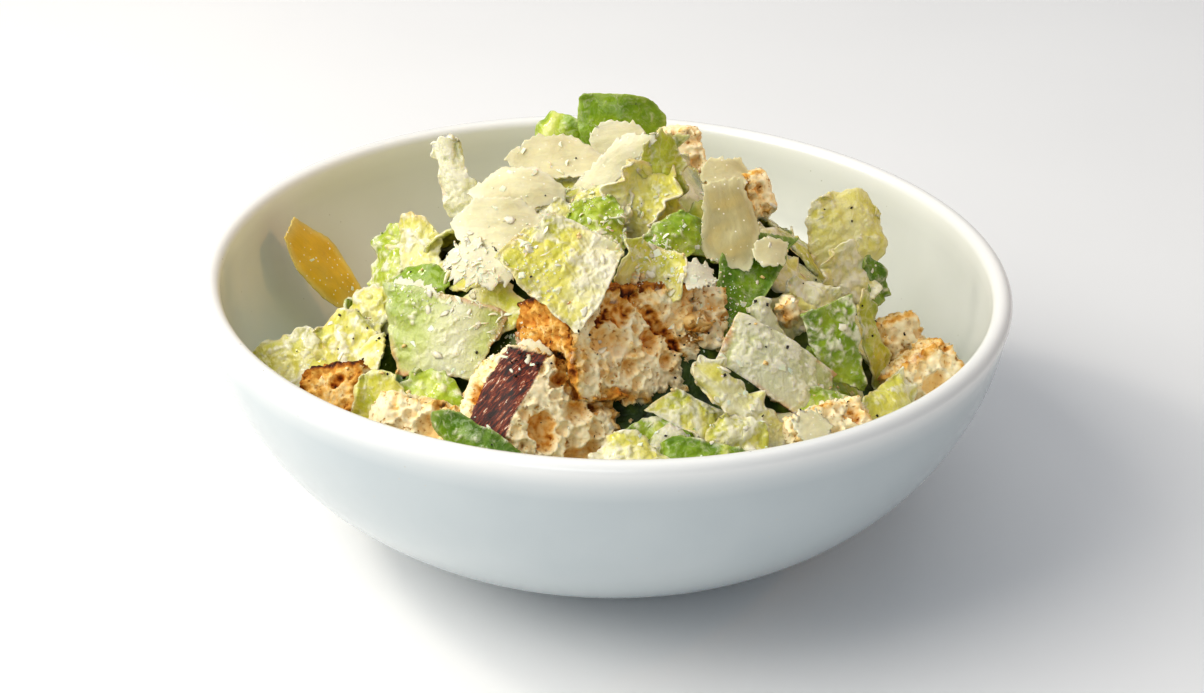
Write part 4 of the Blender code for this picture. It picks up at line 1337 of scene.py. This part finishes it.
gloss = add_node(
    tree, "ShaderNodeMapRange", inputs={"To Min": 0.7, "To Max": 0.3},
    links={"Value": glossy.outputs["Value"]},
)
tree.links.new(gloss.outputs["Result"], shader.inputs["Roughness"])
pitted = add_node(
    tree, "ShaderNodeMath", {"operation": "MULTIPLY_ADD"}, {1: -1.0}, {0: pores[1], 2: fleck.outputs["Fac"]}
)
relief = add_node(
    tree, "ShaderNodeMath", {"operation": "MULTIPLY_ADD"}, {1: -2.0},
    {0: pores[0], 2: pitted.outputs["Value"]},
)
crumb_only = add_node(
    tree, "ShaderNodeMath", {"operation": "MULTIPLY"},
    links={0: relief.outputs["Value"], 1: dry.outputs["Value"]},
)
bump = add_node(
    tree, "ShaderNodeBump", inputs={"Strength": 0.7, "Distance": 0.5 * MM},
    links={"Height": crumb_only.outputs["Value"]},
)
tree.links.new(bump.outputs["Normal"], shader.inputs["Normal"])
serve("croutons", gather(baked), bread_finish, list(CROUTONS))

# %% [markdown]
# ## Shavings of hard cheese
#
# The shavings are cut with a peeler from a wedge of aged hard cheese. Each is a curl a millimetre
# thick, smooth and waxy where the blade slid, and broken off short at its ends. The same curl as the
# solid's is made again from a much finer grid, with a ragged outline and the faint steps of the blade.
# The number `tone` runs from a fresh cream, the cheese's own colour, through a darker olive to amber;
# the olive is painted shade and the amber a painted glow of warm light through the curl. `slice` is a
# point's place on the flat shaving in millimetres, turned so that the cut runs along its second axis.

# %% Places of the shavings
# name: centre, (width, length), facing, turn, bend, twist, raggedness, tone (above cream, painted shade and
# glow)
SHAVINGS = {
    "shaving_wide": ((-28, -32, 99), (27, 15), (-8, 44), 4, 50, 6, 0.16, 0.22),
    "shaving_upper": ((-24, -18, 103), (26, 13), (-5, 52), 2, 30, -8, 0.16, 0.2),
    "shaving_top": ((-15, -3, 106), (26, 14), (0, 54), 8, 26, 10, 0.16, 0.25),
    "shaving_peak": ((2, 8, 107), (15, 12), (-8, 34), 12, 18, 6, 0.25, 0.15),
    "shaving_edge": ((-0.5, -12.5, 107.5), (8, 33), (-30, 20), -38, 20, 12, 0.3, 0.12),
    "shaving_right": ((31, -29, 99), (16, 25), (10, 30), 10, 34, 10, 0.2, 0.5),
    "shaving_right_small": ((42.5, -31.5, 94), (10, 8.5), (25, 40), -20, 20, 5, 0.2, 0.3),
    "shaving_wall": ((-81, 34, 54), (18, 34), (62, 32), 24, 12, 4, 0.05, 1.0),
    "shaving_ragged": ((-33, -40, 92), (19, 11), (-20, 42), -10, 24, -8, 0.5, 0.14),
    "shaving_low_right": ((52, -73, 66), (9, 9), (20, 52), 15, 20, 4, 0.5, 0.2),
    "shaving_on_rib": ((-51, -24, 77), (15, 5), (-40, 44), 8, 20, 0, 0.25, 0.1),
    "shaving_curl": ((23, -47, 94), (10, 7), (25, 50), -12, 40, 10, 0.4, 0.0),
    "shaving_between": ((-18, -63, 80), (11, 5), (-8, 60), -8, 50, 0, 0.2, 0.1),
    "shaving_far": ((31, 0, 102), (14, 10), (10, 50), -15, 26, 8, 0.25, 0.35),
}
print(len(SHAVINGS), "shavings")

# %% A shaving
# how many straight breaks a shaving has, and the height in mm of the blade's steps
BREAKS, BLADE_STEP = 6, 0.02


def broken_grid(size, cell, rng):
    """A grid one unit wide with its corners cut off straight, and the (direction, distance) of the cuts."""
    width, length = size
    bm = bmesh.new()
    bmesh.ops.create_grid(bm, x_segments=round(width / cell), y_segments=round(length / cell), size=0.5)
    breaks = []
    for step in range(BREAKS):
        angle = math.radians(step * 360 / BREAKS + 30 + rng.uniform(-22, 22))
        out = Vector((math.cos(angle), math.sin(angle), 0))
        far = rng.uniform(0.40, 0.56)
        breaks.append((out, far))
        bmesh.ops.bisect_plane(
            bm, geom=bm.verts[:] + bm.edges[:] + bm.faces[:], plane_co=out * far, plane_no=out,
            clear_outer=True,
        )
    return bm, breaks


def shaving(name, cell=0.5, thick=0.95):
    """One curl of cheese as a bmesh that keeps its tone and slice."""
    at, (width, length), facing, turn, bend, twist, ragged, tone = SHAVINGS[name]
    bm, breaks = broken_grid((width, length), cell, random.Random(name))
    layer = bm.verts.layers.float.new("tone")
    slice_place = bm.verts.layers.float_vector.new("slice")
    seed = Vector((sum(at), len(name), width))
    radius = width / math.radians(bend)
    steps = []
    for vert in bm.verts:
        flat = vert.co.copy()
        inner = min([0.5 - abs(flat.x), 0.5 - abs(flat.y)] + [far - out.dot(flat) for out, far in breaks])
        edge = 1 - smooth_step(0.0, 0.13, inner)
        x, y = flat.x * width, flat.y * length
        x += edge * ragged * (4 * bumps(seed, y / 1.5, x / 4, 2) + 2 * bumps(seed, y / 0.6, x / 2, 7))
        y += edge * ragged * (5 * bumps(seed, x / 1.3, y / 4, 5) + 3 * bumps(seed, x / 0.6, y / 2, 9))
        angle = x / radius
        chatter = BLADE_STEP * math.sin(y * 2.4 + noise.noise(Vector((x / 5, y / 5, 0))) * 3)
        lift = radius + 0.9 * bumps(seed, x / 9, y / 9, 4) + chatter
        sheet = Vector((lift * math.sin(angle), y, lift * math.cos(angle) - radius + bend * width / 900))
        vert.co = Matrix.Rotation(math.radians(twist) * flat.y * 2, 3, "Y") @ sheet * MM
        # the tone carries the painted shade and glow; it wanders a little and is paler at the thin broken
        # edge
        vert[layer] = tone + 0.12 * bumps(seed, x / 6, y / 4, 8) - (0.08 + 0.25 * tone) * edge
        vert[slice_place] = Vector((x, y, 0) if length > width else (y, x, 0)) + seed
        steps.append(thick * (1 - 0.6 * edge) * MM)
    thicken(bm, steps)
    bmesh.ops.transform(bm, matrix=facing_matrix(at, facing, turn), verts=bm.verts)
    return bm


test = shaving("shaving_wide")
print("shaving_wide has", len(test.faces), "faces")
test.free()

# %% [markdown]
# Hard cheese is waxy and lets light a little way in, so it has soft shades. The blade leaves faint
# streaks, two millimetres wide and six long, and here and there a white crystal a third of a
# millimetre across shows in it.

# %% Cheese finish
cheese_finish, tree, shader = new_material(
    "aged hard cheese", Roughness=0.42, IOR=1.45, Subsurface_Weight=0.35,
    Subsurface_Radius=(1.0, 0.75, 0.35), Subsurface_Scale=1.5 * MM,
)
place = add_node(tree, "ShaderNodeTexCoord").outputs["Object"]
tone = add_node(tree, "ShaderNodeAttribute", {"attribute_name": "tone"}).outputs["Fac"]
# cream is the cheese's own colour; the olive at 0.5 is painted shade, the amber above it painted glow
waxy = add_node(
    tree, "ShaderNodeValToRGB", links={"Fac": tone},
    stops=[(0.0, "E6E2CA"), (0.22, "DFDAB2"), (0.5, "C0B684"), (0.75, "E0C468"), (1.0, "DFB836")],
)
slide = add_node(tree, "ShaderNodeAttribute", {"attribute_name": "slice"}).outputs["Vector"]
drawn = add_node(
    tree, "ShaderNodeMapping", inputs={"Scale": (1 / 2.083, 1 / 6.25, 1 / 1.25)}, links={"Vector": slide}
)
streaks = add_node(
    tree, "ShaderNodeTexNoise", inputs={"Scale": 1.0, "Detail": 6.0, "Roughness": 0.65, "Distortion": 0.4},
    links={"Vector": drawn.outputs["Vector"]},
)
grain = add_node(
    tree, "ShaderNodeTexNoise", inputs={"Scale": per_metre(2.38), "Detail": 4.0}, links={"Vector": place}
)
grainy = add_node(
    tree, "ShaderNodeMapRange", inputs={"From Min": 0.3, "From Max": 0.7, "To Min": 0.88, "To Max": 1.07},
    links={"Value": streaks.outputs["Fac"]},
)
toned = add_node(
    tree, "ShaderNodeVectorMath", {"operation": "SCALE"},
    links={0: waxy.outputs["Color"], "Scale": grainy.outputs["Result"]},
)
crystals = add_node(tree, "ShaderNodeTexVoronoi", inputs={"Scale": per_metre(1.923)}, links={"Vector": place})
white = add_node(
    tree, "ShaderNodeMapRange", inputs={"From Min": 0.16, "From Max": 0.08},
    links={"Value": crystals.outputs["Distance"]},
)
specked = add_node(
    tree, "ShaderNodeMix", {"data_type": "RGBA"}, {"B": linear("F6F2E2")},
    {"Factor": white.outputs["Result"], "A": toned.outputs["Vector"]},
)
tree.links.new(specked.outputs["Result"], shader.inputs["Base Color"])
torn = add_node(
    tree, "ShaderNodeMath", {"operation": "ADD"}, links={0: grain.outputs["Fac"], 1: streaks.outputs["Fac"]}
)
bump = add_node(
    tree, "ShaderNodeBump", inputs={"Strength": 0.6, "Distance": 0.4 * MM},
    links={"Height": torn.outputs["Value"]},
)
tree.links.new(bump.outputs["Normal"], shader.inputs["Normal"])
curls = gather([shaving(name) for name in SHAVINGS])
serve("parmesan_shavings", curls, cheese_finish, list(SHAVINGS))

# %% [markdown]
# ## What falls on top
#
# Grated cheese, cracked pepper, crumbs and drops of dressing lie where they fell: on whatever is on top
# there. So each bit is dropped as a ray onto the finished leaves, bread and cheese, and lies along the
# surface that the ray meets. Some fall straight, others at a slant, as a hand strews them, and they
# also reach under the leaves' edges. Most come down in a few handfuls, the rest all over.

# %% Drop points
LEAVES_AND_ALL = (heart_finish, green_finish, rib_finish, bread_finish, cheese_finish, shade_green)
TOP_PIECES = [
    BVHTree.FromObject(piece, bpy.context.evaluated_depsgraph_get())
    for piece in bpy.context.scene.objects
    if piece.type == "MESH" and piece.data.materials and piece.data.materials[0] in LEAVES_AND_ALL
]
LEANS = [(0, 0, -1), (0, 0.6, -0.8), (-0.4, 0.3, -0.8), (0.4, -0.2, -0.8)]
# the height in mm that a throw is aimed at, its start and reach in metres, and how far out it goes in mm
DROP_AIM, DROP_FROM, DROP_REACH, STREWN_REACH = 80, 0.15, 0.3, 96


def drop(x, y, towards):
    """Where something thrown through (x, y) mm first meets the salad, and the surface's direction."""
    direction = Vector(towards).normalized()
    start = Vector((x, y, DROP_AIM)) * MM - direction * DROP_FROM
    nearest = None
    for surface in TOP_PIECES:
        point, normal, index, distance = surface.ray_cast(start, direction, DROP_REACH)
        if point is not None and (nearest is None or distance < nearest[2]):
            nearest = (point, normal if normal.dot(direction) < 0 else -normal, distance)
    return nearest[:2] if nearest else None


def scatter(count, handfuls, spread, share, seed, leans=LEANS):
    """Points and normals for a number of bits: a share of them in handfuls, the others all over."""
    rng = random.Random(seed)
    found = []
    while len(found) < count:
        if rng.random() < share:
            x, y = rng.choice(handfuls)
            x, y = rng.gauss(x, spread), rng.gauss(y, spread)
        else:
            reach, bearing = STREWN_REACH * math.sqrt(rng.random()), rng.uniform(0, math.tau)
            x, y = reach * math.sin(bearing), reach * math.cos(bearing)
        hit = drop(x, y, rng.choice(leans))
        if hit:
            found.append(hit)
    return found


print("pieces to drop onto:", len(TOP_PIECES), "first hit:", drop(0, -60, (0, 0, -1)))

# %% [markdown]
# There are hundreds of bits, so each has only a few faces. Grated snow, flakes, pepper and crumbs are
# boxes with their corners pushed about, which gives them the sharp planes of something cracked. The
# longer gratings are short strips, bent and arched. Only the drops are round.


# %% Shards
def lying_on(normal, rng, *tilts):
    """A rotation that lies along a surface, turned at random about its normal, then tilted a little."""
    lie = normal.to_track_quat("Z", "Y").to_matrix() @ Matrix.Rotation(rng.uniform(0, math.tau), 3, "Z")
    for axis, tilt in zip("XY", tilts):
        lie = lie @ Matrix.Rotation(rng.uniform(-tilt, tilt), 3, axis)
    return lie


def shards(places, sizes, flatness, seed):
    """Angular crumbs, each a small box with its corners pushed about, on (point, normal) places."""
    rng = random.Random(seed)
    bm = bmesh.new()
    for point, normal in places:
        length = rng.uniform(*sizes) * rng.uniform(0.6, 1)
        shape = (length, length * rng.uniform(0.4, 0.9), length * flatness * rng.uniform(0.6, 1.4))
        lie = lying_on(normal, rng, 0.4)
        for vert in bmesh.ops.create_cube(bm, size=1.0)["verts"]:
            local = Vector([vert.co[i] * shape[i] * rng.uniform(0.45, 1.15) for i in range(3)])
            vert.co = point + (lie @ local + normal * shape[2] * 0.3) * MM
    return bm


# %% Shreds
def shreds(places, sizes, seed):
    """Thin grated strips that lie along (point, normal) places, each bent a little its own way."""
    rng = random.Random(seed)
    bm = bmesh.new()
    for point, normal in places:
        strip = bmesh.ops.create_grid(bm, x_segments=4, y_segments=1, size=0.5)["verts"]
        faces = list({face for vert in strip for face in vert.link_faces})
        below = bmesh.ops.extrude_face_region(bm, geom=faces)["geom"]
        below = {item for item in below if isinstance(item, bmesh.types.BMVert)}
        length, width, thick = rng.uniform(*sizes), rng.uniform(0.3, 1.1), rng.uniform(0.15, 0.25)
        bow, arch = rng.uniform(-0.35, 0.35), rng.uniform(-0.05, 0.3)
        lie = lying_on(normal, rng, 0.5, 0.25)
        for vert in [*strip, *below]:
            s, t = vert.co.x * 2, vert.co.y * 2
            slim = (1 - 0.6 * s * s) * rng.uniform(0.75, 1.1)
            low = -thick if vert in below else 0.0
            side = t * width / 2 * slim + bow * s * s * 1.5
            local = Vector((s * length / 2, side, low + arch * (1 - s * s) * 1.5))
            vert.co = point + (lie @ local + normal * (thick + 0.1)) * MM
    bmesh.ops.recalc_face_normals(bm, faces=bm.faces)
    return bm


# %% Drops
def domes(places, sizes, flatness, dents, sink, seed):
    """Small squashed and dented balls, sunk into (point, normal) places by a share of their height."""
    rng = random.Random(seed)
    bm = bmesh.new()
    for point, normal in places:
        made = bmesh.ops.create_icosphere(bm, subdivisions=2, radius=1.0)["verts"]
        length = rng.uniform(*sizes) / 2
        shape = Vector((length, length * rng.uniform(0.45, 0.8), length * flatness * rng.uniform(0.7, 1.3)))
        lie = lying_on(normal, rng, 0.25)
        swirl = Vector((rng.random(), rng.random(), rng.random())) * 9
        for vert in made:
            dent = 1 + dents * noise.noise(vert.co * 1.6 + swirl) * 2
            local = Vector((vert.co.x * shape.x, vert.co.y * shape.y, vert.co.z * shape.z)) * dent
            vert.co = point + (lie @ local + normal * (shape.z * (1 - sink))) * MM
    return bm


# middles of the handfuls, as (x, y) in millimetres
HANDFULS = [
    (5, -30), (-24, -50), (-36, -44), (17, -36), (-6, -22), (44, -58), (-60, -36), (58, -2), (30, -74),
]
SNOW = [(5, -32), (8, -34), (-25, -52), (-26, -56), (-36, -40), (-48, -36), (18, -36), (30, -40)]
SHREDDED = [(-33, -41), (-31, -46), (0, -14), (-4, -20), (6, -30)]
PEPPERED = [(30, -44), (-66, -30), (-8, -70), (20, -60)]
CRUMBLED = [(6, -66), (20, -50), (60, -60), (-52, -58)]
snow = shards(scatter(1500, SNOW, 3.6, 0.7, 3), (0.3, 0.85), 0.5, 4)
print("grated snow:", len(snow.faces), "faces")

# %% [markdown]
# Grated cheese is the same cheese, cut so fine that it looks almost white. Cracked pepper is matt and
# nearly black, with browner husks half a millimetre wide. Bread crumbs have the bread's own finish. A
# drop of dressing is smooth, cream-coloured and glossy, and spreads into a low dome, so it sinks
# further into what it lies on. Each finish is one colour clouded by another.


# %% Finishes of the bits
def clouded(name, cloud, detail, stops, **sockets):
    """A material whose colour is clouded in clouds of a size in millimetres."""
    made, tree, shader = new_material(name, **sockets)
    place = add_node(tree, "ShaderNodeTexCoord").outputs["Object"]
    clouds = add_node(
        tree, "ShaderNodeTexNoise", inputs={"Scale": per_metre(cloud), "Detail": detail},
        links={"Vector": place},
    )
    colours = add_node(tree, "ShaderNodeValToRGB", links={"Fac": clouds.outputs["Fac"]}, stops=stops)
    tree.links.new(colours.outputs["Color"], shader.inputs["Base Color"])
    return made


grated_finish = clouded(
    "grated hard cheese", 2, 1.0, [(0.35, "EFE7C6"), (0.65, "F8F4E2")],
    Roughness=0.5, Subsurface_Weight=0.4, Subsurface_Scale=MM,
)
pepper_finish = clouded("cracked black pepper", 0.667, 2.0, [(0.4, "14110E"), (0.7, "3A2E22")], Roughness=0.7)
dressing_finish = clouded(
    "caesar dressing", 2.5, 3.0, [(0.35, "E9E0BC"), (0.65, "F3EED6")], Roughness=0.18, IOR=1.46,
    Subsurface_Weight=0.4, Subsurface_Radius=(1.0, 0.9, 0.6), Subsurface_Scale=1.5 * MM,
)
print("three small finishes")

# %% Serve the bits
serve("grated_cheese", snow, grated_finish, smooth=False)
flakes = shards(scatter(130, HANDFULS, 8, 0.6, 5), (1.2, 2.8), 0.12, 6)
strips = shreds(scatter(130, SHREDDED, 3.2, 0.95, 7), (1.0, 3.0), 8)
serve("cheese_flakes", gather([flakes, strips]), grated_finish, smooth=False)
spots = scatter(130, PEPPERED, 6, 0.3, 8) + scatter(16, [(-19, -67)], 4, 1.0, 21, [(0.5, 0.6, -0.62)])
serve("cracked_pepper", shards(spots, (0.45, 1.1), 0.8, 9), pepper_finish, smooth=False)
crumbs = shards(scatter(50, CRUMBLED, 8, 0.6, 14), (0.6, 1.8), 0.7, 13)
toast_layer = crumbs.verts.layers.float.new("toast")
for vert in crumbs.verts:
    vert[toast_layer] = 0.25
serve("bread_crumbs", crumbs, bread_finish)
drops = domes(scatter(80, HANDFULS, 12, 0.4, 17), (1.0, 3.2), 0.2, 0.35, 0.75, 18)
serve("dressing_drops", drops, dressing_finish)

# %% Sizes and the end
low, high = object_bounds()
print("visual size in mm:", [round((h - l) * 1000, 1) for l, h in zip(low, high)])
